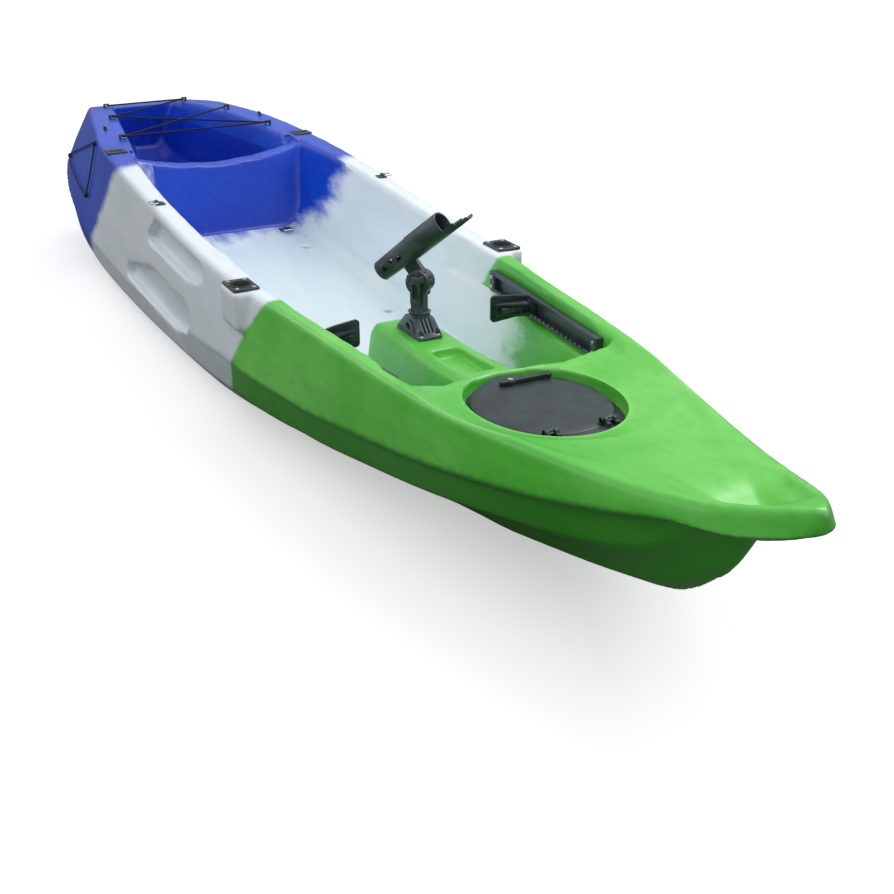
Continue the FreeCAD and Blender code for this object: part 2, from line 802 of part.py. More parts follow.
def hinged_ring(wire, half_width, reach):
    """Rounded-square ring in a flat plane, hinge bar on the X axis, body towards -Y."""
    block = soft_box(-half_width, half_width, -reach, 0, 0, 10, 4.5)
    flat = [f for f in block.Faces if f.BoundBox.ZMax < 0.01]
    path = flat[0].OuterWire
    start = path.Edges[0]
    at = start.valueAt(start.FirstParameter)
    hoop = Part.Wire([Part.Circle(at, start.tangentAt(start.FirstParameter), wire).toShape()])
    return path.makePipeShell([hoop], True, False)


def eye_straps():
    """Small bent eye straps aft of the slot plates."""
    x, y = EYE_STRAP
    level = deck_height(x, -y) - 1.0
    seat(box(x - 17, x + 17, -y - 7, -y + 7, level, SKY))
    foot = soft_box(-16, 16, -6, 6, 0, 1.6, 5)
    arch = rod(2.4, Vector(-8, 0, 1.2), Vector(-8, 0, 9)).fuse(rod(2.4, Vector(8, 0, 1.2), Vector(8, 0, 9)))
    top = rod(2.4, Vector(-8, 0, 9), Vector(8, 0, 9))
    balls = [Part.makeSphere(2.405, Vector(s * 8, 0, 9)) for s in (-1, 1)]
    pair(moved(merged([foot, arch, top] + balls), place(x, -y, level)), "eye_strap")


def cord_hook():
    """J-shaped cord hook: a foot with a screw hole and a finger that turns back over the cord."""
    foot = soft_box(-8, 8, -7, 12, 0, 3, 4)
    neck = box(-4, 4, 6, 12, 2, 14)
    finger = box(-4, 4, -5, 12, 10.8, 14)
    return merged([foot, neck, finger]).cut(Part.makeCylinder(SHANK + GAP, 10, Vector(0, 0, -2)))


def tank_hooks():
    """Six hooks round the tank well with their screws and the criss-cross cord."""
    hooks = []
    screws = []
    eyes = {}
    for i, (x, y) in enumerate(HOOKS):
        level = deck_height(x, -y - 4) - 1.5
        seat(box(x - 10, x + 10, -y - 14, -y + 9.5, level, SKY))
        seat(Part.makeCylinder(SHANK + GAP, 30, Vector(x, -y, level - 9.5)))
        for side in (-1, 1):
            turn = 180 if side < 0 else 0
            spot = place(x, side * y, level, turn)
            hooks.append(moved(cord_hook(), spot))
            screws.append(moved(screw(11.5), place(x, side * y, level + 3)))
            eyes[(i, side)] = Vector(x, side * (y + 1.5), level + 8.0)
    group(hooks, "tank_hooks")
    group(screws, "tank_hook_screws")
    order = [(1, 1), (2, -1), (2, 1), (1, -1), (0, 1), (0, -1)]
    stand(cord([eyes[key] for key in order], SIZE["cord_radius"]), "tank_cord")



# ---------------------------------------------------------------- paddle keepers on the flanks
KEEPER_SPOTS = [(-1104.0, 404.0), (-1628.0, 262.0), (-1185.0, 236.0)]    # station, height


def flank_frame(x, z):
    """Placement on the starboard flank with Z along the outward normal."""
    step = 6.0
    lengthwise = (flank_breadth(x + step, z) - flank_breadth(x - step, z)) / (2 * step)
    rising = (flank_breadth(x, z + step) - flank_breadth(x, z - step)) / (2 * step)
    normal = Vector(-lengthwise, -1, -rising).normalize()
    return Placement(Vector(x, -flank_breadth(x, z), z), Rotation(Vector(0, 0, 1), normal))


def keepers():
    """Cord loops that hold a paddle shaft against each flank."""
    foot = Part.makeCylinder(8, 3, Vector(0, 0, -1))
    neck = Part.makeCylinder(3, 8, Vector(0, 0, 1))
    cap = Part.makeCylinder(6.5, 3, Vector(0, 0, 8))
    button = merged([foot, neck, cap])
    frames = [flank_frame(x, z) for x, z in KEEPER_SPOTS]
    for frame in frames:
        seat(moved(Part.makeCylinder(8.3, 20, Vector(0, 0, -1)), frame))
    pair(moved(button, frames[0]), "keeper_knob")
    both = [moved(button, frames[1]), moved(button, frames[2])]
    stand(Part.makeCompound(both), "keeper_clips_stbd")
    stand(Part.makeCompound([mirrored(b) for b in both]), "keeper_clips_port")
    pair(keeper_cord(), "keeper_cord")


def keeper_cord():
    """Cord drawn tight round the three necks, a little off the flank; its ends meet on the long run."""
    around = 5.9
    wraps = 4
    steps = 6
    outline = []
    for i, (x, z) in enumerate(KEEPER_SPOTS):
        before = KEEPER_SPOTS[i - 1]
        after = KEEPER_SPOTS[(i + 1) % 3]
        arrive = math.atan2(z - before[1], x - before[0]) + math.pi / 2
        leave = math.atan2(after[1] - z, after[0] - x) + math.pi / 2
        turn = (leave - arrive + math.pi) % (2 * math.pi) - math.pi
        if turn > 0:
            arrive += math.pi
        for k in range(wraps + 1):
            angle = arrive + turn * k / wraps
            outline.append((x + around * math.cos(angle), z + around * math.sin(angle)))
    path = []
    for (x0, z0), (x1, z1) in zip(outline, outline[1:] + outline[:1]):
        count = steps if math.hypot(x1 - x0, z1 - z0) > 40 else 1
        for k in range(count):
            x = x0 + (x1 - x0) * k / count
            z = z0 + (z1 - z0) * k / count
            path.append(flank_frame(x, z).multVec(Vector(0, 0, 5.0)))
    runs = [i for i in range(1, len(path) - 1) if min((path[i] - path[i - j]).Length for j in (-1, 1)) > 20]
    path = path[runs[0]:] + path[:runs[0]]
    path.append(path[0] - (path[0] - path[-1]).normalize() * 2.0)
    return hose(path, 2.0)


# ---------------------------------------------------------------- seat anchors
SEAT_ANCHOR = (-772.0, 158.0)


def seat_anchors():
    """Ringed pads in the rear corners of the cockpit floor."""
    x, y = SEAT_ANCHOR
    level = deck_height(x, -y) - 1.5
    seat(box(x - 16, x + 16, -y - 20, -y + 20, level, level + 60))
    base = soft_box(-14, 14, -19, 19, 0, 2.6, 5)
    barrel = rod(4.4, Vector(6, -10, 5.6), Vector(6, 10, 5.6))
    web = box(1, 9, -10, 10, 2, 6)
    bore = rod(2.18, Vector(6, -14, 5.8), Vector(6, 14, 5.8))
    pad = solid_of(merged([base, barrel, web]).cut(bore))
    pair(moved(pad, place(x, -y, level)), "seat_pad")
    loop = moved(hinged_ring(2.1, 14, 22), place(x + 6, -y, level + 5.8, 90))
    pair(loop, "seat_ring")


# ---------------------------------------------------------------- foredeck hatch
FRAME_THICK = 5.0
GASKET_TOP = 263.5
LID_TOP = 272.0
HINGE_X = 1046.0
HINGE_Z = 279.0
HINGE_Y = 62.0
HINGE_PIN = 2.5
LEVER_SPOT = (808.0, -4.0)


def oval_ring(outer, inner, z0, z1):
    """Flat oval ring given the amounts by which it stands outside the lid edge."""
    a = SIZE["lid_half_length"]
    b = SIZE["lid_half_width"]
    return oval(a + outer, b + outer, z0, z1).cut(oval(a + inner, b + inner, z0 - 1, z1 + 1))


def hinge_knuckles(y0, y1, reach):
    """Barrel round the hinge axis with a web towards the bow (positive reach) or the stern."""
    parts = []
    for side in (-1, 1):
        low = side * HINGE_Y + y0
        high = side * HINGE_Y + y1
        barrel = rod(6.6, Vector(HINGE_X, low, HINGE_Z), Vector(HINGE_X, high, HINGE_Z))
        span = sorted((HINGE_X, HINGE_X + reach))
        web = box(span[0], span[1], low, high, LID_TOP - 3, HINGE_Z + 1)
        parts += [barrel, web]
    return parts


def hatch():
    """Oval hatch: frame with a fixed front land, gasket, hinged lid, pins and a turning lever."""
    seat_z = SIZE["hatch_seat"]
    a = SIZE["lid_half_length"]
    b = SIZE["lid_half_width"]
    land_cut = box(HINGE_X + 0.6, 1200, -200, 200, 200, 400)
    flange = oval_ring(HATCH_RING - 1, -30, seat_z, seat_z + FRAME_THICK)
    land = oval(a, b, seat_z + FRAME_THICK, LID_TOP).common(land_cut)
    lugs = hinge_knuckles(-13.0, -6.3, 16) + hinge_knuckles(6.3, 13.0, 16)
    bore = rod(HINGE_PIN + 0.06, Vector(HINGE_X, -100, HINGE_Z), Vector(HINGE_X, 100, HINGE_Z))
    frame = merged([flange, land] + lugs).cut(bore)
    knuckle_room = [
        rod(7.2, Vector(HINGE_X, s * HINGE_Y - 6.3, HINGE_Z), Vector(HINGE_X, s * HINGE_Y + 6.3, HINGE_Z))
        for s in (-1, 1)
    ]
    for room in knuckle_room:
        frame = frame.cut(room)
    stand(solid_of(frame), "hatch_frame")
    gasket = oval_ring(-18, -28, seat_z + FRAME_THICK, GASKET_TOP)
    stand(solid_of(gasket.cut(box(HINGE_X - 2, 1200, -200, 200, 200, 400))), "hatch_gasket")
    stand(hatch_lid(bore), "hatch_lid")
    pins = [
        rod(HINGE_PIN, Vector(HINGE_X, s * HINGE_Y - 13, HINGE_Z), Vector(HINGE_X, s * HINGE_Y + 13, HINGE_Z))
        for s in (-1, 1)
    ]
    group(pins, "hatch_hinge_pins")
    hatch_lever()


def hatch_lid(bore):
    a = SIZE["lid_half_length"]
    b = SIZE["lid_half_width"]
    edge = LID_TOP - SIZE["lid_edge"] - 4
    aft = box(500, HINGE_X, -200, 200, 200, 400)
    plate = oval(a, b, GASKET_TOP, LID_TOP)
    skirt = oval(a, b, edge, LID_TOP).cut(oval(a - 6, b - 6, edge - 1, LID_TOP + 1))
    tab = Part.makeCylinder(30, LID_TOP - edge, Vector(786, 10, edge)).cut(oval(a - 6, b - 6, edge - 1, GASKET_TOP))
    rim = [e for e in plate.Edges if e.BoundBox.ZMin > LID_TOP - 0.01]
    crown = oval(100, 84, LID_TOP - 1, LID_TOP + 4, 930)
    crown = crown.makeFillet(3.5, [e for e in crown.Edges if e.BoundBox.ZMin > LID_TOP + 3.9])
    body = merged([plate, skirt, tab]).common(aft).fuse(crown)
    for lug in hinge_knuckles(-6.0, 6.0, -16):
        body = body.fuse(lug)
    lug_room = [
        rod(7.2, Vector(HINGE_X, s * HINGE_Y + t - 3.7, HINGE_Z), Vector(HINGE_X, s * HINGE_Y + t + 3.7, HINGE_Z))
        for s in (-1, 1) for t in (-9.9, 9.9)
    ]
    for room in lug_room:
        body = body.cut(room)
    pin_hole = Part.makeCylinder(3.0 + GAP, 40, Vector(LEVER_SPOT[0], LEVER_SPOT[1], LID_TOP - 20))
    return solid_of(body.cut(bore).cut(pin_hole))


def hatch_lever():
    """Flat lever across the rear of the lid, turning on an upright pin."""
    x, y = LEVER_SPOT
    hub = Part.makeCylinder(9, 11.5, Vector(x, y, LID_TOP + 0.3))
    arm = soft_box(x - 6.5, x + 6.5, y - 24, y + 88, LID_TOP + 4.8, LID_TOP + 11.8, 6)
    tip = Part.makeCylinder(9, 7, Vector(x, y + 82, LID_TOP + 4.8))
    body = merged([hub, arm, tip]).cut(Part.makeCylinder(3.05, 40, Vector(x, y, LID_TOP - 5)))
    stand(solid_of(body), "hatch_lever")
    shaft = Part.makeCylinder(3.0, 20, Vector(x, y, LID_TOP - 7))
    cap = Part.makeCylinder(5.5, 1.6, Vector(x, y, LID_TOP + 12.1))
    stand(solid_of(shaft.fuse(cap)), "hatch_lever_pin")


# ---------------------------------------------------------------- rod holder on the console
def rod_frame(height=0.0):
    """Frame on the post axis with X along the heading of the tube."""
    return place(SIZE["rod_x"], 0, SIZE["rod_seat"] + height, SIZE["rod_swing"])


def rod_base():
    long = SIZE["rod_base_length"]
    wide = SIZE["rod_base_width"]
    high = SIZE["rod_base_height"]
    foot = soft_box(-long / 2, long / 2, -wide / 2, wide / 2, 0, 6, 8)
    lower = [(-long / 2 + 3, -wide / 2 + 2), (long / 2 - 3, -wide / 2 + 2), (long / 2 - 3, wide / 2 - 2),
             (-long / 2 + 3, wide / 2 - 2)]
    top = 23.0
    upper = [(-top, -top), (top, -top), (top, top), (-top, top)]
    tower = Part.makeLoft(
        [
            Part.makePolygon([Vector(px, py, 5) for px, py in lower + lower[:1]]),
            Part.makePolygon([Vector(px, py, high - 7) for px, py in upper + upper[:1]]),
        ],
        True,
        True,
    )
    collar = Part.makeCylinder(top, 12, Vector(0, 0, high - 12))
    dome = rod(27, Vector(0, -wide / 2 + 1, 6), Vector(0, wide / 2 - 1, 6)).common(box(-60, 60, -60, 60, 0, 60))
    body = merged([foot, tower, collar, dome])
    body = body.cut(Part.makeCylinder(SIZE["post_radius"] + 0.06, high, Vector(0, 0, 4)))
    body = body.cut(rod(8, Vector(0, -60, 19), Vector(0, -16, 19)))
    body = body.cut(rod(8, Vector(0, 16, 19), Vector(0, 60, 19)))
    for y in (-9, 0, 9):
        body = body.cut(box(long / 2 - 34, long / 2 - 10, y - 2, y + 2, 10, 60))
    screws = []
    origin = place(SIZE["rod_x"], 0, SIZE["rod_seat"])
    for sx in (-1, 1):
        for sy in (-1, 1):
            at = Vector(sx * (long / 2 - 10), sy * (wide / 2 - 9), 0)
            body = body.cut(Part.makeCylinder(6, 60, at + Vector(0, 0, 6)))
            body = body.cut(Part.makeCylinder(SHANK * 1.2 + GAP, 20, at - Vector(0, 0, 1)))
            spot = Vector(SIZE["rod_x"], 0, SIZE["rod_seat"]) + at
            screws.append(moved(screw(17, 1.2), Placement(spot + Vector(0, 0, 6), Rotation())))
            seat(Part.makeCylinder(SHANK * 1.2 + GAP, 30, spot - Vector(0, 0, 14)), both=False)
    stand(solid_of(body), "rod_base", origin)
    group(screws, "rod_base_screws")


def rod_post():
    """Spigot, flange and blade with the fixed half of the tilt knuckle."""
    high = SIZE["rod_base_height"]
    pivot = SIZE["pivot_height"]
    spigot = Part.makeCylinder(SIZE["post_radius"], high - 4, Vector(0, 0, 5))
    flange = Part.makeCone(21, 25, 3.5, Vector(0, 0, high + 0.6))
    blade = box(-15, 15, -11, 11, high, pivot)
    knuckle = rod(SIZE["knuckle_radius"], Vector(0, -11, pivot), Vector(0, 11, pivot))
    lugs = [soft_box(s * 15 - 3, s * 15 + 3, -24, -10, 0, 14, 1.5) for s in (-1, 1)]
    lugs = [moved(lug, place(0, 0, pivot + 6)) for lug in lugs]
    body = merged([spigot, flange, blade, knuckle] + lugs)
    body = body.cut(rod(5.06, Vector(0, -20, pivot), Vector(0, 20, pivot)))
    body = body.cut(rod(2.06, Vector(-30, -18, pivot + 13), Vector(30, -18, pivot + 13)))
    body = body.cut(rod(9.5, Vector(0, -20, pivot), Vector(0, -6, pivot)))
    for i in range(12):
        angle = math.radians(30 * i)
        at = Vector(26.2 * math.cos(angle), 0, pivot + 26.2 * math.sin(angle))
        if at.z > pivot - 8:
            body = body.cut(rod(1.6, at - Vector(0, 7, 0), at + Vector(0, 7, 0)))
    stand(solid_of(body), "rod_post", rod_frame())


def rod_hardware():
    """Pivot bolt, its knob, the lock lever and the lever pin."""
    pivot = SIZE["pivot_height"]
    shaft = rod(5, Vector(0, -10, pivot), Vector(0, 46, pivot))
    head = rod(9, Vector(0, -10.5, pivot), Vector(0, -6.2, pivot))
    stand(solid_of(shaft.fuse(head)), "rod_pivot_bolt", rod_frame())
    hub = rod(13, Vector(0, 27, pivot), Vector(0, 44, pivot))
    paddle = soft_box(-7, 7, 31, 43, -35, 8, 0.01 + 3)
    paddle = moved(paddle, place(0, 0, pivot))
    knob = merged([hub, paddle]).cut(rod(5.06, Vector(0, 20, pivot), Vector(0, 50, pivot)))
    stand(solid_of(knob), "rod_knob", rod_frame())
    lever = soft_box(-11.5, 11.5, -22, -14, -56, 0, 1.5)
    eye = rod(4, Vector(-11.5, -18, 0), Vector(11.5, -18, 0))
    window = box(-6, 6, -30, -5, -44, -12)
    hole = rod(2.05, Vector(-30, -18, 0), Vector(30, -18, 0))
    lever = merged([lever, eye]).cut(window).cut(hole)
    stand(solid_of(moved(lever, place(0, 0, pivot + 13))), "rod_lock_lever", rod_frame())
    primitive(
        "Part::Cylinder", "lever_pin", "rod_lever_pin", Radius="2", Height="36",
        placement=rod_frame().multiply(
            Placement(Vector(-18, -18, pivot + 13), Rotation(Vector(0, 1, 0), 90))
        ),
    )


def rod_tube():
    """Ear on the pivot and the tube: solid barrel with a long lower lip, and a windowed basket."""
    pivot = SIZE["pivot_height"]
    outer = SIZE["tube_radius"]
    inner = SIZE["tube_bore"]
    low, joint, mouth, lip = -64.0, 32.0, 126.0, 186.0
    side = 7.0
    ahead = Vector(1, 0, 0)
    barrel = Part.makeCylinder(outer, lip - joint, Vector(joint, 0, 0), ahead)
    barrel = barrel.cut(box(mouth, lip + 1, -60, 60, -12, 60))
    for turn in (-1, 1):
        barrel = barrel.cut(box(mouth + 30, lip + 1, min(15 * turn, 60 * turn), max(15 * turn, 60 * turn), -60, 0))
    basket = Part.makeCone(outer - 4.5, outer - 1.5, joint - low + 0.1, Vector(low, 0, 0), ahead)
    tube = merged([barrel, basket])
    tube = tube.cut(Part.makeCylinder(inner, lip - joint + 10, Vector(joint, 0, 0), ahead))
    tube = tube.cut(Part.makeCone(outer - 8.5, inner - 3.5, joint - low - 8, Vector(low + 8, 0, 0), ahead))
    for turn in (-62, -20, 200, 242, 90):
        for station, lean in ((-42, 1), (-20, -1), (2, 1)):
            tube = tube.cut(window_wedge(station, lean).rotated(Vector(), ahead, turn))
    tube = moved(solid_of(tube), place(0, side, SIZE["tube_offset"]))
    ear = rod(SIZE["knuckle_radius"] - 2, Vector(0, 11.4, 0), Vector(0, 25.4, 0))
    riser = box(-17, 17, 11.4, 25.4, 0, SIZE["tube_offset"] - 22)
    ear = ear.fuse(riser).cut(Part.makeCylinder(inner + 1.2, 400, Vector(-200, side, SIZE["tube_offset"]), ahead))
    cradle = solid_of(tube.fuse(ear)).cut(rod(5.06, Vector(0, 0, 0), Vector(0, 40, 0)))
    lean = Placement(Vector(0, 0, pivot), Rotation(Vector(0, 1, 0), -SIZE["rod_lean"]))
    stand(solid_of(cradle), "rod_tube", rod_frame().multiply(lean))


def window_wedge(station, lean):
    """Triangular window through the top wall of the basket."""
    width = 15.0
    points = [
        Vector(station - width / 2, -lean * 6.5, 8),
        Vector(station + width / 2, -lean * 6.5, 8),
        Vector(station, lean * 6.5, 8),
    ]
    return prism(points, Vector(0, 0, 30))


# ---------------------------------------------------------------- foot braces
RAIL_START = Vector(267.0, -275.0, 268.0)      # aft lower corner of the starboard rail back face
RAIL_TURN = 4.4                                # heading of the rail towards the centre plane, degrees
PEDAL_REST = 190.0                             # pedal centre along the rail


def rail_frame(along=0.0):
    """X along the starboard rail towards the bow, Y inboard, Z up."""
    turn = Rotation(Vector(0, 0, 1), RAIL_TURN)
    return Placement(RAIL_START + turn.multVec(Vector(along, 0, 0)), turn)


def rail_profile():
    high = SIZE["rail_height"]
    deep = SIZE["rail_depth"]
    lip = 8.0
    skin = 3.6
    return [
        (0, 0), (deep, 0), (deep, lip), (deep - skin, lip), (deep - skin, skin),
        (skin, skin), (skin, high - skin), (deep - skin, high - skin),
        (deep - skin, high - lip), (deep, high - lip), (deep, high), (0, high),
    ]


def foot_rails():
    """Channel rails with end blocks and a row of notches in the lower lip."""
    high = SIZE["rail_height"]
    deep = SIZE["rail_depth"]
    long = SIZE["rail_length"]
    wire = [Vector(0, y, z) for y, z in rail_profile()]
    rail = prism(wire, Vector(long, 0, 0))
    ends = [soft_box(0, 24, 0, deep + 2, 0, high, 4), soft_box(long - 24, long, 0, deep + 2, 0, high, 4)]
    rail = merged([rail] + ends)
    notch = 8.0
    for i in range(21):
        at = 38 + 20 * i
        rail = rail.cut(box(at, at + notch, 11, deep + 3, 3.6, 8.2))
    screws = []
    for at in (12, long - 12):
        for z in (12, high - 12):
            rail = rail.cut(rod(SHANK + GAP, Vector(at, -1, z), Vector(at, 40, z)))
            shaft = moved(screw(deep + 10), Placement(Vector(at, deep + 2, z), Rotation(Vector(1, 0, 0), -90)))
            screws.append(moved(shaft, rail_frame()))
            seat(moved(rod(SHANK + GAP, Vector(at, -10, z), Vector(at, 3, z)), rail_frame()))
    pair(moved(solid_of(rail), rail_frame()), "foot_rail")
    group(screws + [mirrored(piece) for piece in screws], "foot_rail_screws")
    seat(rail_recess(0))


def rail_recess(grow):
    """Flat moulded into the cockpit wall behind a rail."""
    long = SIZE["rail_length"]
    front = SIZE["rail_depth"] + 14
    top = SIZE["rail_height"] + 30
    return moved(box(-3 - grow, long + 3 + grow, -grow, front, -2 - grow, top), rail_frame())


def foot_pedals():
    """Pedal plate on a carriage in the rail, with a sprung latch bar in front of it."""
    high = SIZE["rail_height"]
    deep = SIZE["rail_depth"]
    reach = SIZE["pedal_reach"]
    carriage = box(-26, 26, 4.0, deep - 4.0, 4.1, high - 4.1)
    neck = box(-22, 22, deep - 5, deep + 5, 8.6, high - 8.6)
    neck = neck.cut(box(4, 30, deep + 0.6, deep + 9, 11, 26))
    plate_points = [
        Vector(-4, deep + 2, 3), Vector(-4, deep + 2, 43), Vector(-4, deep + 30, 48), Vector(-4, reach, 53),
        Vector(-4, reach, -9), Vector(-4, deep + 30, -2),
    ]
    plate = prism(plate_points, Vector(6, 0, 0))
    corner = [e for e in plate.Edges if abs(e.tangentAt(e.FirstParameter).x) > 0.99 and e.BoundBox.YMin > reach - 1]
    plate = plate.makeFillet(9, corner)
    gusset = prism(
        [Vector(1, deep + 3, 27), Vector(22, deep + 3, 27), Vector(22, deep + 12, 27), Vector(4, reach - 10, 27),
         Vector(1, reach - 10, 27)],
        Vector(0, 0, 6),
    )
    shelf = gusset.translated(Vector(0, 0, -23))
    body = merged([carriage, neck, plate, gusset, shelf])
    pin_at = Vector(12, deep + 22, 0)
    body = body.cut(Part.makeCylinder(2.06, 40, pin_at + Vector(0, 0, 0)))
    pair(moved(solid_of(body), rail_frame(PEDAL_REST)), "foot_pedal")
    bar = soft_box(8, 16, deep + 1.2, deep + 62, 13, 24, 2)
    grip = soft_box(6, 18, deep + 54, deep + 68, 12, 25, 2.5)
    boss = Part.makeCylinder(6, 14, pin_at + Vector(0, 0, 11.5))
    latch = merged([bar, grip, boss]).cut(Part.makeCylinder(2.06, 40, pin_at))
    pair(moved(solid_of(latch), rail_frame(PEDAL_REST)), "foot_latch")
    pair(moved(Part.makeCylinder(2.0, 28, pin_at + Vector(0, 0, 4.5)), rail_frame(PEDAL_REST)), "foot_latch_pin")


# ---------------------------------------------------------------- hull, last, with every seat cut
def finish_hull():
    void = hull_void()
    for recess in both_sides(rail_recess(WALL)):
        void = void.cut(recess)
    shell = outer_form.cut(void)
    shell = shell.cut(oval(HATCH_HOLE_X, HATCH_HOLE_Y, SIZE["hatch_seat"] - 40, SKY))
    for hollow in seat_cuts:
        shell = shell.cut(hollow)
    solids = sorted(shell.Solids, key=lambda s: s.Volume)
    stand(solids[-1].removeSplitter(), "hull")


def check_and_write():
    doc.recompute()
    for obj in doc.Objects:
        if "Invalid" in obj.State or "Error" in obj.State:
            raise ValueError("failed object " + obj.Name)
    for obj, node in finished:
        if obj.Shape.isNull() or not obj.Shape.isValid():
            raise ValueError("bad shape " + node)
    for obj, node in finished:
        obj.Shape.exportStep("parts/%s.step" % node)
        print("%-22s %9.1f cm3 %d solid" % (node, obj.Shape.Volume / 1000, len(obj.Shape.Solids)))


rod_sockets()
slot_plates()
ring_pads()
eye_straps()
tank_hooks()
keepers()
seat_anchors()
hatch()
rod_base()
rod_post()
rod_hardware()
rod_tube()
foot_rails()
foot_pedals()
finish_hull()
check_and_write()
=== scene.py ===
import json
import math

import bmesh
import bpy
from mathutils import Matrix, Vector


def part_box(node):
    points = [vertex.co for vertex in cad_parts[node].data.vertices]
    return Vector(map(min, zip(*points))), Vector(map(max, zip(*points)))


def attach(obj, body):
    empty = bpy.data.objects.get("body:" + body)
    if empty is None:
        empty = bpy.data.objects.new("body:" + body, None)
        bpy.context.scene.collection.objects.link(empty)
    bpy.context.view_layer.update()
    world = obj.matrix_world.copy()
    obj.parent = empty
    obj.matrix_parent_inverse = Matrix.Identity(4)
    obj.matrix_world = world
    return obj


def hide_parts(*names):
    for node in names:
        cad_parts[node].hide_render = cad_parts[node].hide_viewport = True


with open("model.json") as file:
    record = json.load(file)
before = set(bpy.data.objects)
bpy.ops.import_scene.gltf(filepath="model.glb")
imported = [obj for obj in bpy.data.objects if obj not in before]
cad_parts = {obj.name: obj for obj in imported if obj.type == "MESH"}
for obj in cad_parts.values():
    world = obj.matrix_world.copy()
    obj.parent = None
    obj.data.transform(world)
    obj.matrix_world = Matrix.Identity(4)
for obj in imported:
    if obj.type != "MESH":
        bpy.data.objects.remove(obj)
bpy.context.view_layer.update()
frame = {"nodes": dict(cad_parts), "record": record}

NODES = frame["nodes"]
MM = 0.001
BLACK = (0.0, 0.0, 0.0, 1.0)
PAINTED_HIGHLIGHT = (1.0, 1.0, 1.0, 1.0)


# ---------------------------------------------------------------- node helpers
class Graph:
    """Short way to write a material's nodes."""

    def __init__(self, name):
        self.material = bpy.data.materials.new(name)
        self.material.use_nodes = True
        self.tree = self.material.node_tree
        self.tree.nodes.clear()
        self.coords = self.add("ShaderNodeTexCoord").outputs["Object"]

    def add(self, kind, settings=None, **inputs):
        """New node; an input is given by its name, or by its place as i0, i1 and so on."""
        node = self.tree.nodes.new(kind)
        for key, value in (settings or {}).items():
            setattr(node, key, value)
        for key, value in inputs.items():
            by_place = key[0] == "i" and key[1:].isdigit()
            self.feed(node.inputs[int(key[1:]) if by_place else key], value)
        return node

    def feed(self, socket, value):
        if isinstance(value, bpy.types.NodeSocket):
            self.tree.links.new(value, socket)
        else:
            socket.default_value = value

    def math(self, kind, a, b=0.0):
        return self.add("ShaderNodeMath", {"operation": kind}, i0=a, i1=b).outputs[0]

    def noise(self, scale, detail=3.0, rough=0.5, stretch=None):
        where = self.coords
        if stretch:
            where = self.add("ShaderNodeMapping", None, Vector=where, Scale=stretch).outputs[0]
        settings = {"Vector": where, "Scale": scale, "Detail": detail, "Roughness": rough}
        return self.add("ShaderNodeTexNoise", None, **settings).outputs["Fac"]

    def smooth(self, value, low, high, to_low=0.0, to_high=1.0):
        """Smooth step of value between low and high, giving to_low to to_high."""
        node = self.add("ShaderNodeMapRange", {"interpolation_type": "SMOOTHSTEP"}, Value=value)
        for index, number in enumerate((low, high, to_low, to_high), start=1):
            self.feed(node.inputs[index], number)
        return node.outputs[0]

    def mix(self, share, a, b, kind="MIX"):
        """Colour a where share is 0 and colour b where it is 1."""
        node = self.add("ShaderNodeMix", {"data_type": "RGBA", "blend_type": kind})
        self.feed(node.inputs[0], share)
        self.feed(node.inputs[6], a)
        self.feed(node.inputs[7], b)
        return node.outputs[2]

    def attribute(self, name):
        return self.add("ShaderNodeAttribute", {"attribute_name": name}).outputs["Fac"]

    def pointiness(self):
        return self.add("ShaderNodeNewGeometry").outputs["Pointiness"]

    def bump(self, height, depth, below=None):
        node = self.add("ShaderNodeBump", None, Height=height, Distance=depth, Strength=1.0)
        if below is not None:
            self.feed(node.inputs["Normal"], below)
        return node.outputs[0]

    def finish(self, **inputs):
        """Closes the graph with a principled surface and gives the material."""
        body = self.add("ShaderNodeBsdfPrincipled")
        for key, value in inputs.items():
            self.feed(body.inputs[key.replace("_", " ")], value)
        out = self.add("ShaderNodeOutputMaterial")
        self.tree.links.new(body.outputs[0], out.inputs[0])
        return self.material


def linear(value):
    """Screen value, 0 to 255, as a linear share."""
    share = value / 255.0
    return share / 12.92 if share <= 0.04045 else ((share + 0.055) / 1.055) ** 2.4


def rgb(red, green, blue):
    return (linear(red), linear(green), linear(blue), 1.0)


def moulded(name, colour, pale_tone, rough=0.42, grain=900.0, depth=0.08 * MM):
    """Filled nylon: fine spark-eroded grain, slight mottling and paler edges."""
    g = Graph(name)
    cloud = g.noise(18.0, 4.0, 0.6)
    fine = g.noise(grain, 2.0, 0.7)
    tone = g.mix(g.smooth(cloud, 0.35, 0.7), colour, pale_tone)
    # Paler towards sharp convex edges, read from the mesh's pointiness.
    tone = g.mix(g.smooth(g.pointiness(), 0.52, 0.62, 0.0, 0.7), tone, pale_tone)
    gloss = g.math("ADD", rough - 0.08, g.math("MULTIPLY", cloud, 0.18))
    return g.finish(Base_Color=tone, Roughness=gloss, Normal=g.bump(fine, depth))


def steel(name, tint=0.72):
    """Bright drawn stainless with faint lengthwise scratches."""
    g = Graph(name)
    streak = g.noise(600.0, 3.0, 0.6, (1.0, 0.06, 1.0))
    dull = (tint * 0.8, tint * 0.82, tint * 0.84, 1.0)
    bright = (tint, tint, tint * 1.01, 1.0)
    gloss = g.math("ADD", 0.16, g.math("MULTIPLY", streak, 0.2))
    return g.finish(
        Base_Color=g.mix(streak, dull, bright),
        Metallic=1.0,
        Roughness=gloss,
        Normal=g.bump(streak, 0.03 * MM),
    )


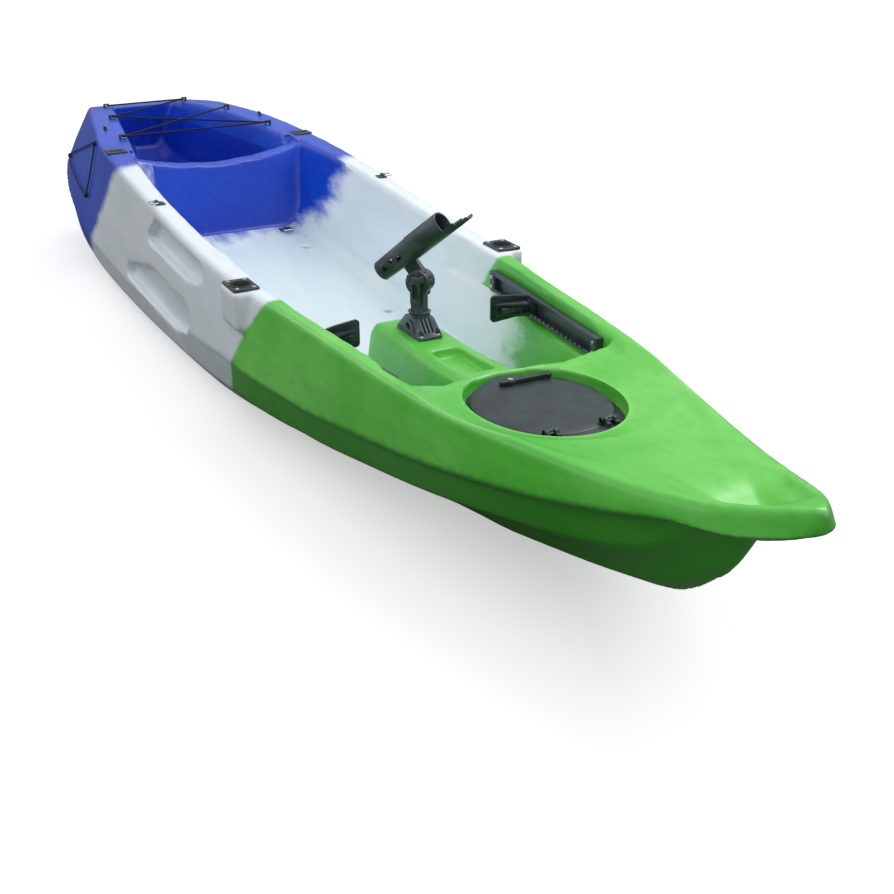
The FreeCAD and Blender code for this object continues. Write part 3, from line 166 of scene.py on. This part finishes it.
def braid(name):
    """Woven sleeve: crossed fine bands over near-black yarn."""
    g = Graph(name)
    turned = g.add("ShaderNodeMapping", None, Vector=g.coords, Scale=(-1.0, 1.0, 1.0)).outputs[0]
    bands = []
    for where in (g.coords, turned):
        settings = {"Vector": where, "Scale": 420.0, "Distortion": 0.6}
        wave = g.add("ShaderNodeTexWave", {"bands_direction": "DIAGONAL"}, **settings)
        bands.append(wave.outputs["Fac"])
    weave = g.math("MULTIPLY", *bands)
    tone = g.mix(weave, rgb(9, 12, 22), rgb(34, 38, 52))
    return g.finish(Base_Color=tone, Roughness=0.75, Normal=g.bump(weave, 0.4 * MM))


# ---------------------------------------------------------------- hull plastic
# The darker green, darker blue and cool white serve both as painted shade and as the pigments' own
# streaks and mottling.
GREEN = rgb(78, 192, 52)
GREEN_SHADE_AND_STREAK = rgb(40, 152, 12)
GREEN_PALE = rgb(120, 214, 92)
WHITE = rgb(232, 238, 243)
WHITE_SHADE_AND_SWIRL = rgb(196, 222, 224)
BLUE = rgb(8, 74, 206)
BLUE_SHADE_AND_MOTTLE = rgb(2, 36, 160)
BLUE_PALE = rgb(70, 120, 225)


def pigment_shares(g, swirl, wisp):
    """Shares of green and blue, from the signed distances to the borders between the colours."""
    streaks = g.math("ADD", g.math("MULTIPLY", swirl, 0.7), g.math("MULTIPLY", wisp, 0.3))
    shift = g.math("SUBTRACT", streaks, 0.5)
    soft = g.attribute("soft")
    sway = g.math("MULTIPLY", shift, g.smooth(soft, 0.0, 1.0, 0.012, 0.42))
    half = g.smooth(soft, 0.0, 1.0, 0.006, 0.075)
    to_green = g.math("ADD", g.attribute("to_green"), sway)
    to_blue = g.math("ADD", g.attribute("to_blue"), g.math("MULTIPLY", sway, 0.8))
    return [g.smooth(g.math("DIVIDE", reach, half), -1.0, 1.0) for reach in (to_green, to_blue)]


def hull_plastic():
    """Three pigments run together in the mould: blue aft, white amidships, green forward."""
    g = Graph("rotomoulded_skin")
    swirl = g.noise(9.0, 5.0, 0.62, (0.7, 1.6, 1.6))
    wisp = g.noise(34.0, 6.0, 0.7, (0.5, 1.4, 1.4))
    cloud = g.noise(3.2, 3.0, 0.5)
    # Painted shade: the stored share darkens each pigment low in the cockpit, in the wells and under the
    # lip.
    painted_shade = g.attribute("painted_shade")
    green_share, blue_share = pigment_shares(g, swirl, wisp)
    green = g.mix(g.smooth(cloud, 0.3, 0.75), GREEN, GREEN_PALE)
    green = g.mix(painted_shade, green, GREEN_SHADE_AND_STREAK)
    green = g.mix(g.smooth(wisp, 0.42, 0.75, 0.0, 0.25), green, GREEN_SHADE_AND_STREAK)
    blue = g.mix(g.smooth(cloud, 0.35, 0.7, 0.0, 0.5), BLUE, BLUE_SHADE_AND_MOTTLE)
    blue = g.mix(painted_shade, blue, BLUE_SHADE_AND_MOTTLE)
    blue = g.mix(g.smooth(wisp, 0.5, 0.8, 0.0, 0.25), blue, BLUE_PALE)
    white = g.mix(g.smooth(swirl, 0.35, 0.8, 0.0, 0.45), WHITE, WHITE_SHADE_AND_SWIRL)
    white = g.mix(g.math("MULTIPLY", painted_shade, 0.7), white, WHITE_SHADE_AND_SWIRL)
    tone = g.mix(green_share, white, green)
    tone = g.mix(blue_share, tone, blue)
    # Painted highlight: white screened over the sharp convex edges.
    tone = g.mix(g.smooth(g.pointiness(), 0.515, 0.58, 0.0, 0.22), tone, PAINTED_HIGHLIGHT, "SCREEN")
    peel = g.noise(260.0, 3.0, 0.6)
    ripple = g.noise(14.0, 2.0, 0.5)
    scuff = g.noise(70.0, 6.0, 0.75, (0.15, 1.0, 1.0))
    gloss = g.math("ADD", 0.3, g.math("MULTIPLY", g.smooth(scuff, 0.45, 0.8), 0.14))
    return g.finish(
        Base_Color=tone,
        Roughness=gloss,
        Normal=g.bump(peel, 0.12 * MM, g.bump(ripple, 1.6 * MM)),
        Coat_Weight=0.12,
        Coat_Roughness=0.2,
    )


# ---------------------------------------------------------------- small geometry helpers
def lerp_table(table, value):
    """Straight-line reading of (key, result) pairs."""
    if value <= table[0][0]:
        return table[0][1]
    for (k0, r0), (k1, r1) in zip(table, table[1:]):
        if value <= k1:
            return r0 + (r1 - r0) * (value - k0) / (k1 - k0)
    return table[-1][1]


def ease(value, low, high):
    """Smooth step from 0 at low to 1 at high."""
    share = min(1.0, max(0.0, (value - low) / (high - low)))
    return share * share * (3 - 2 * share)


def clamped(value):
    return min(1.0, max(0.0, value))


def new_object(name, mesh):
    made = bpy.data.objects.new(name, mesh)
    bpy.context.scene.collection.objects.link(made)
    return made


def shade_smooth(mesh):
    mesh.polygons.foreach_set("use_smooth", [True] * len(mesh.polygons))


# ---------------------------------------------------------------- outside of the hull
CREASE = math.radians(25)
SCREW_WALL = 100 * MM * MM      # largest area of a screw hole's wall


def smooth_patches(bm, crease):
    """Groups the faces that join without a crease."""
    runs = []
    seen = set()
    for first in bm.faces:
        if first in seen:
            continue
        seen.add(first)
        run = [first]
        for face in run:
            for edge in face.edges:
                if len(edge.link_faces) != 2 or edge.calc_face_angle() > crease:
                    continue
                for other in edge.link_faces:
                    if other not in seen:
                        seen.add(other)
                        run.append(other)
        runs.append(run)
    return runs


def on_flank(spot):
    """True by the recesses in the boat's sides, where small facets belong to the outside."""
    return abs(spot.y) > 0.29 and spot.z < 0.40 and -0.85 < spot.x < 0.0


def outer_skin(bm, wells):
    """Keeps the outside of the hollow hull; walls of screw holes and of the given wells are cut away."""
    walls = set()
    for run in smooth_patches(bm, CREASE):
        spots = [vertex.co for face in run for vertex in face.verts]
        in_well = any(all(inside(spot) for spot in spots) for inside in wells)
        small = sum(face.calc_area() for face in run) < SCREW_WALL
        if in_well or (small and not all(on_flank(spot) for spot in spots)):
            walls.update(run)
    front = max(bm.faces, key=lambda face: face.calc_center_median().x)
    kept = {front}
    queue = [front]
    for face in queue:
        for edge in face.edges:
            for other in edge.link_faces:
                if other not in kept and other not in walls:
                    kept.add(other)
                    queue.append(other)
    bmesh.ops.delete(bm, geom=[face for face in bm.faces if face not in kept], context="FACES")
    bmesh.ops.holes_fill(bm, edges=[edge for edge in bm.edges if edge.is_boundary])


def voxel_rebuild(obj, size, rounds):
    """Even mesh with the soft edges of a rotational moulding."""
    remesh = obj.modifiers.new("remesh", "REMESH")
    remesh.mode = "VOXEL"
    remesh.voxel_size = size
    smooth = obj.modifiers.new("smooth", "SMOOTH")
    smooth.factor = 0.5
    smooth.iterations = rounds
    shaped = obj.evaluated_get(bpy.context.evaluated_depsgraph_get())
    made = bpy.data.meshes.new_from_object(shaped)
    obj.modifiers.clear()
    obj.data = made


# ---------------------------------------------------------------- where the colours meet
# Metres. Each pair is a station or height and what holds there.
INNER_EDGE = (                  # station, half breadth where the gunwale turns into the cockpit
    (-0.85, 0.25), (-0.65, 0.274), (-0.35, 0.29), (-0.05, 0.282), (0.1, 0.278), (0.3, 0.272),
    (0.45, 0.262), (0.6, 0.246), (0.75, 0.236),
)
WELL_GREEN = ((0.09, 0.47), (0.12, 0.43), (0.2, 0.40), (0.33, 0.32))            # height, station
WELL_BLUE_PORT = ((0.12, -0.80), (0.2, -0.74), (0.3, -0.62), (0.4, -0.57))
WELL_BLUE_STBD = ((0.12, -0.80), (0.2, -0.78), (0.3, -0.80), (0.4, -0.82))
CONSOLE_GREEN = 0.27            # station where the console turns green
SEAT_BACK = -0.79               # station of the foot of the seat back
SEAT_HALF = 0.2                 # half breadth of the seat back
SEAT_FOOT = 0.172               # height of the seat back's foot
TANK_BLUE = -0.80               # station of the blue border on the deck's middle


def in_cockpit(x, breadth, z):
    return breadth < lerp_table(INNER_EDGE, x) - 0.004 and z > 0.09 and -0.86 < x < 0.75


def cockpit_marks(x, y, z):
    """Reach into green, reach into blue, softness and depth of shade inside the cockpit."""
    breadth = abs(y)
    console = breadth < 0.095 and z > 0.125 + 0.3 * max(0, 0.33 - x)
    green_border = CONSOLE_GREEN if console else lerp_table(WELL_GREEN, z) - 0.05 * (y < 0)
    # Painted shade: darker the lower the surface lies in the cockpit.
    painted_shade = clamped((0.30 - z) / 0.3)
    if x < SEAT_BACK - 2 * MM and breadth < SEAT_HALF and z > SEAT_FOOT:
        return x - green_border, 0.12, 0.0, painted_shade
    centre = max(0.0, 1.0 - breadth / SEAT_HALF)
    wall_border = lerp_table(WELL_BLUE_STBD if y < 0 else WELL_BLUE_PORT, z)
    blue_border = wall_border * (1 - centre) + SEAT_BACK * centre
    to_blue = min(blue_border - x, 0.5 * (SEAT_BACK - x) + breadth)
    return x - green_border, to_blue, 0.25 if console else 1.0, painted_shade


def outside_marks(x, y, z, facing_up):
    """The same four values on the deck, the gunwales and the sides."""
    breadth = abs(y)
    starboard = y < 0
    green_border = 0.30 + 0.79 * (z - 0.32) if starboard else 0.27 + 0.79 * (z - 0.345)
    blue_border = -0.76 - 1.2 * (0.41 - z) if starboard else -0.62 - 0.6 * (0.41 - z)
    if breadth < 0.2 and z > 0.15:
        blue_border = TANK_BLUE
    tank = -1.66 < x < -0.88 and breadth < 0.2 and z < 0.36
    tray = 0.5 < x < 0.7 and breadth < 0.05
    # Painted shade: downward-facing surfaces forward, the tank well and the tray are darkened.
    underside_shade = 0.75 * clamped(0.25 - 2.5 * facing_up) if x > -0.2 else 0.0
    painted_shade = 0.8 if tank else (0.5 if tray else underside_shade)
    return x - green_border, blue_border - x, 0.12 if x > -0.3 else 0.45, painted_shade


def colour_marks(mesh):
    """Stores what the hull's material reads: reaches into the colours, softness and shade."""
    names = ("to_green", "to_blue", "soft", "painted_shade")
    for name in names:
        mesh.attributes.new(name, "FLOAT", "POINT")
    layers = [mesh.attributes[name].data for name in names]
    for i, vertex in enumerate(mesh.vertices):
        x, y, z = vertex.co
        if in_cockpit(x, abs(y), z):
            marks = cockpit_marks(x, y, z)
        else:
            marks = outside_marks(x, y, z, vertex.normal.z)
        for layer, mark in zip(layers, marks):
            layer[i].value = mark


# ---------------------------------------------------------------- hull skin
SKIN_VOXEL = 6 * MM
SKIN_ROUNDS = 3
LIP_FOOT = (                    # station, height of the gunwale lip's lower edge near the nose
    (1.30, 0.264), (1.35, 0.270), (1.45, 0.288), (1.55, 0.296), (1.60, 0.310), (1.64, 0.318),
)
LIP_LIFT = 19 * MM
LIP_HEIGHT = 45 * MM
HOLLOW_DEPTH = 18 * MM
HOLLOW_END = 1.575              # station of the tow hollow's narrow end
RECESS_HALF = (0.171, 0.144)    # half length and half breadth of the hatch recess
RECESS_MEAN = 0.155
RIM_HEIGHT = 0.286              # deck's height at the edge of the hatch recess
RIM_SLOPE = 0.42
RIM_FLAT = 6 * MM
HATCH_HOLE = (0.126, 0.099)     # half length and half breadth of the opening under the lid
SOCKET_WELL = 26 * MM
SOCKET_HOLE = 24.5 * MM


def refine_bow(co):
    """Keeps the lip slim to the nose and presses the hollow round the tow hole."""
    foot = lerp_table(LIP_FOOT, co.x)
    above = 1 - ease(co.z, foot, foot + LIP_HEIGHT)
    below = ease(co.z, foot - 2 * LIP_HEIGHT, foot)
    lift = LIP_LIFT * ease(co.x, 1.34, 1.56) * above * below
    if co.z > foot + 40 * MM:
        along = ease(co.x, 1.40, 1.54) * (1 - ease(co.x, 1.560, 1.592))
        ridge = 10 * MM + 0.42 * max(0.0, HOLLOW_END - co.x)
        across = 1 - ease(abs(co.y), 0.55 * ridge, ridge + 6 * MM)
        lift -= HOLLOW_DEPTH * along * across
    return lift


def lower_rim(co, hatch):
    """Chamfer round the hatch recess: the deck stands only a little higher than the lid there."""
    reach = math.hypot((co.x - hatch.x) / RECESS_HALF[0], co.y / RECESS_HALF[1])
    outside = (reach - 1.0) * RECESS_MEAN
    limit = RIM_HEIGHT + RIM_SLOPE * max(0.0, outside - RIM_FLAT)
    if 0.0 < outside < 0.12 and co.z > limit:
        return limit - co.z
    return 0.0


def shape_foredeck(mesh, hatch):
    for vertex in mesh.vertices:
        if vertex.co.x > 1.27:
            vertex.co.z += refine_bow(vertex.co)
        elif vertex.co.x > 0.7 and vertex.co.z > 0.28:
            vertex.co.z += lower_rim(vertex.co, hatch)


def open_holes(mesh, hatch, sockets):
    """Opens the skin under the hatch lid and over the two rod sockets."""
    bm = bmesh.new()
    bm.from_mesh(mesh)
    gone = []
    for face in bm.faces:
        at = face.calc_center_median()
        reach = ((at.x - hatch.x) / HATCH_HOLE[0]) ** 2 + (at.y / HATCH_HOLE[1]) ** 2
        under_lid = reach < 1 and abs(at.z - hatch.z) < 12 * MM
        over_socket = any((at.xy - middle.xy).length < SOCKET_HOLE for middle in sockets)
        if under_lid or (over_socket and at.z > 0.3):
            gone.append(face)
    bmesh.ops.delete(bm, geom=gone, context="FACES")
    bm.to_mesh(mesh)
    bm.free()


def hull_skin():
    hatch_low, hatch_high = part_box("hatch_frame")
    hatch = Vector((0.5 * (hatch_low.x + hatch_high.x), 0, hatch_low.z))
    plates = [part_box("socket_plate_" + side) for side in ("stbd", "port")]
    sockets = [0.5 * (low + high) for low, high in plates]

    def in_hatch(spot):
        at_floor = abs(spot.z - hatch.z + 2.5 * MM) < 3 * MM
        return at_floor and (spot.xy - hatch.xy).length < 0.14

    def in_socket(spot):
        return any((spot.xy - middle.xy).length < SOCKET_WELL for middle in sockets)

    bm = bmesh.new()
    bm.from_mesh(NODES["hull"].data)
    bmesh.ops.remove_doubles(bm, verts=bm.verts, dist=0.01 * MM)
    outer_skin(bm, (in_hatch, in_socket))
    mesh = bpy.data.meshes.new("hull_skin")
    bm.to_mesh(mesh)
    bm.free()
    skin = new_object("hull_skin", mesh)
    voxel_rebuild(skin, SKIN_VOXEL, SKIN_ROUNDS)
    shape_foredeck(skin.data, hatch)
    open_holes(skin.data, hatch, sockets)
    colour_marks(skin.data)
    shade_smooth(skin.data)
    skin.data.materials.clear()
    skin.data.materials.append(hull_plastic())
    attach(skin, "hull")
    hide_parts("hull")


# ---------------------------------------------------------------- carried-over fittings
NYLON = moulded("black_nylon", rgb(38, 43, 48), rgb(62, 68, 74))
HOLDER = moulded("holder_nylon", rgb(46, 56, 60), rgb(78, 90, 96), 0.38)
HATCH = moulded("hatch_plastic", rgb(28, 40, 44), rgb(44, 56, 60), 0.4, 500.0)
RAIL = moulded("rail_nylon", rgb(34, 42, 48), rgb(64, 74, 80), 0.4)
GASKET = moulded("gasket_foam", rgb(16, 16, 17), rgb(30, 30, 32), 0.8, 1500.0, 0.3 * MM)
STEEL = steel("stainless")
CORD = braid("shock_cord")

FINISH = {
    "fitting": NYLON, "holder": HOLDER, "hatch": HATCH, "rail": RAIL, "gasket": GASKET,
    "screw": STEEL, "ring": STEEL, "cord": CORD,
}
ROUNDING = {"fitting": 0.7, "holder": 1.0, "hatch": 1.2, "rail": 0.7, "gasket": 0.4}


def round_edges(obj, width):
    """Joins the facets of each flat or curved face and rounds the edges between faces."""
    weld = obj.modifiers.new("weld", "WELD")
    weld.merge_threshold = 0.02 * MM
    flat = obj.modifiers.new("flat", "DECIMATE")
    flat.decimate_type = "DISSOLVE"
    flat.angle_limit = math.radians(1.0)
    bevel = obj.modifiers.new("bevel", "BEVEL")
    bevel.width = width
    bevel.segments = 2
    bevel.limit_method = "ANGLE"
    bevel.angle_limit = math.radians(40)
    bevel.harden_normals = True


def dress():
    """Material and softened edges for each carried-over node."""
    slots = {entry["node"]: entry["material_slot"] for entry in frame["record"]["subparts"]}
    for name, obj in NODES.items():
        kind = slots[name]
        if kind == "hull":
            continue
        obj.data.materials.clear()
        obj.data.materials.append(FINISH[kind])
        if kind in ROUNDING:
            round_edges(obj, ROUNDING[kind] * MM)
        shade_smooth(obj.data)


# ---------------------------------------------------------------- hatch lid
COVER_SIDES = 96
COVER_RINGS = (                 # share of the outline, height over the rim's top
    (0.3, 0.0), (0.6, 0.0), (0.85, 0.0), (0.965, 0.0), (0.99, -1.6 * MM), (1.0, -4 * MM), (1.0, -10 * MM),
)
COVER_SKIRT = -10 * MM
COVER_CROWN = 2 * MM
COVER_FRONT = 0.134             # front edge ahead of the recess's middle
TAB_REACH = 14 * MM
TAB_TURN = 0.26                 # spread of the thumb tab, radians
LEAF_SPOTS = (-0.06, 0.06)      # hinge knuckles either side of the centre plane
KNUCKLES = (                    # place along the pin, radius, width
    (0.0, 6.2 * MM, 30 * MM), (-11 * MM, 4.8 * MM, 8 * MM), (11 * MM, 4.8 * MM, 8 * MM),
)


def crown(share):
    """Height of the lid's crown at a share of the way out to the rim."""
    return COVER_CROWN * (1 - share * share)


def cover_ring(bm, middle, half_long, half_wide, top, share):
    """Oval of vertices with the thumb tab bulging aft."""
    ring = []
    for k in range(COVER_SIDES):
        turn = math.tau * k / COVER_SIDES
        tab = TAB_REACH * math.exp(-((turn - math.pi) / TAB_TURN) ** 2)
        x = middle + (half_long + tab) * share * math.cos(turn)
        y = half_wide * share * math.sin(turn)
        ring.append(bm.verts.new((x, y, top + crown(share))))
    return ring


def cover_plate(bm, middle, half_long, half_wide, rim_top):
    rings = [
        cover_ring(bm, middle, half_long, half_wide, rim_top + drop, share)
        for share, drop in COVER_RINGS
    ]
    top = bm.verts.new((middle, 0, rim_top + crown(0)))
    underside_shade = bm.verts.new((middle, 0, rim_top + COVER_SKIRT))
    for k in range(COVER_SIDES):
        after = (k + 1) % COVER_SIDES
        bm.faces.new((top, rings[0][k], rings[0][after]))
        bm.faces.new((underside_shade, rings[-1][after], rings[-1][k]))
        for inner, outer in zip(rings, rings[1:]):
            bm.faces.new((inner[k], outer[k], outer[after], inner[after]))


def cover_knuckles(bm, pin_x, pin_z):
    turned = Matrix.Rotation(math.pi / 2, 4, "X")
    for y in LEAF_SPOTS:
        for offset, radius, width in KNUCKLES:
            place = Matrix.Translation((pin_x - 4 * MM, y + offset, pin_z + 0.5 * MM)) @ turned
            bmesh.ops.create_cone(
                bm, cap_ends=True, segments=20, radius1=radius, radius2=radius, depth=width, matrix=place
            )


def hatch_cover():
    """Plain slightly crowned lid with the aft thumb tab and the knuckles of its two hinges."""
    low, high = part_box("hatch_lid")
    frame_low, frame_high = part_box("hatch_frame")
    pin_low, pin_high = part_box("hatch_hinge_pins")
    back = low.x + 12 * MM
    front = 0.5 * (frame_low.x + frame_high.x) + COVER_FRONT
    bm = bmesh.new()
    half_wide = 0.5 * (high.y - low.y)
    cover_plate(bm, 0.5 * (back + front), 0.5 * (front - back), half_wide, high.z - 11.5 * MM)
    cover_knuckles(bm, 0.5 * (pin_low.x + pin_high.x), 0.5 * (pin_low.z + pin_high.z))
    bmesh.ops.recalc_face_normals(bm, faces=bm.faces)
    mesh = bpy.data.meshes.new("hatch_cover")
    bm.to_mesh(mesh)
    bm.free()
    mesh.materials.append(HATCH)
    shade_smooth(mesh)
    cover = new_object("hatch_cover", mesh)
    soften = cover.modifiers.new("soften", "BEVEL")
    soften.width = 0.8 * MM
    soften.segments = 2
    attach(cover, "lid")
    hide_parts("hatch_lid")


# ---------------------------------------------------------------- floor, light and camera
FLOOR_HALF = 30.0
FLOOR_DROP = -2 * MM
BOUNCE = (0.16, 0.16, 0.16, 1.0)    # floor's tone for all rays but the camera's
DOME_TONE = (0.96, 0.98, 1.0, 1.0)
DOME_FALL = (-0.1, 0.9, 0.28, 1.0)  # low and high height, low and high strength
CAMERA_SPOT = (2.8422, -1.2202, 1.2357)
CAMERA_AHEAD = (-0.80202, 0.42531, -0.41937)
CAMERA_RIGHT = (0.46850, 0.88346, 0.0)
CAMERA_LENS = 53.68
CAMERA_SENSOR = 36.0


def floor_paper():
    """White paper: the camera sees it bright, while little light bounces off it."""
    g = Graph("floor_paper")
    seen = g.add("ShaderNodeLightPath").outputs["Is Camera Ray"]
    tone = g.mix(g.noise(0.6), (0.93, 0.93, 0.93, 1), (0.95, 0.95, 0.95, 1))
    return g.finish(
        Base_Color=g.mix(seen, BOUNCE, g.mix(0.3, tone, BLACK)),
        Roughness=0.95,
        Specular_IOR_Level=0.0,
        Emission_Color=tone,
        Emission_Strength=g.math("MULTIPLY", seen, 0.52),
    )


def stage():
    bm = bmesh.new()
    bmesh.ops.create_grid(bm, x_segments=4, y_segments=4, size=FLOOR_HALF)
    mesh = bpy.data.meshes.new("floor")
    bm.to_mesh(mesh)
    bm.free()
    mesh.materials.append(floor_paper())
    floor = new_object("floor", mesh)
    floor.location = (0, 0, FLOOR_DROP)


def lamp(name, energy, size, spot, target):
    """Rectangular soft box turned towards its target."""
    data = bpy.data.lights.new(name, "AREA")
    data.energy = energy
    data.shape = "RECTANGLE"
    data.size, data.size_y = size
    obj = new_object(name, data)
    obj.location = spot
    aim = Vector(target) - Vector(spot)
    obj.rotation_euler = aim.to_track_quat("-Z", "Y").to_euler()


def camera():
    """The viewpoint of the picture: ahead of the bow, to starboard, looking down and aft."""
    forward = Vector(CAMERA_AHEAD).normalized()
    right = Vector(CAMERA_RIGHT).normalized()
    up = right.cross(forward)
    turn = Matrix((right, up, -forward)).transposed().to_4x4()
    data = bpy.data.cameras.new("camera")
    data.lens = CAMERA_LENS
    data.sensor_width = CAMERA_SENSOR
    obj = new_object("camera", data)
    obj.matrix_world = Matrix.Translation(CAMERA_SPOT) @ turn
    bpy.context.scene.camera = obj


def studio():
    """Overhead dome that falls off towards the horizon, so undersides go dark; white to the camera."""
    world = bpy.data.worlds.new("studio")
    world.use_nodes = True
    tree = world.node_tree
    coords = tree.nodes.new("ShaderNodeTexCoord")
    split = tree.nodes.new("ShaderNodeSeparateXYZ")
    tree.links.new(coords.outputs["Generated"], split.inputs[0])
    ramp = tree.nodes.new("ShaderNodeMapRange")
    ramp.interpolation_type = "SMOOTHSTEP"
    for index, number in enumerate(DOME_FALL, start=1):
        ramp.inputs[index].default_value = number
    tree.links.new(split.outputs["Z"], ramp.inputs[0])
    seen = tree.nodes.new("ShaderNodeLightPath")
    glow = tree.nodes.new("ShaderNodeMath")
    glow.operation = "MAXIMUM"
    tree.links.new(ramp.outputs[0], glow.inputs[0])
    tree.links.new(seen.outputs["Is Camera Ray"], glow.inputs[1])
    dome = tree.nodes["Background"]
    dome.inputs[0].default_value = DOME_TONE
    tree.links.new(glow.outputs[0], dome.inputs[1])
    bpy.context.scene.world = world


hull_skin()
dress()
hatch_cover()
stage()
lamp("key", 62, (2.4, 2.4), (0.4, 2.2, 3.0), (0.2, 0, 0.2))
lamp("rim", 16, (3.6, 0.8), (-1.6, -2.6, 2.0), (0.0, 0, 0.2))
camera()
studio()
bpy.context.scene.view_settings.view_transform = "Standard"
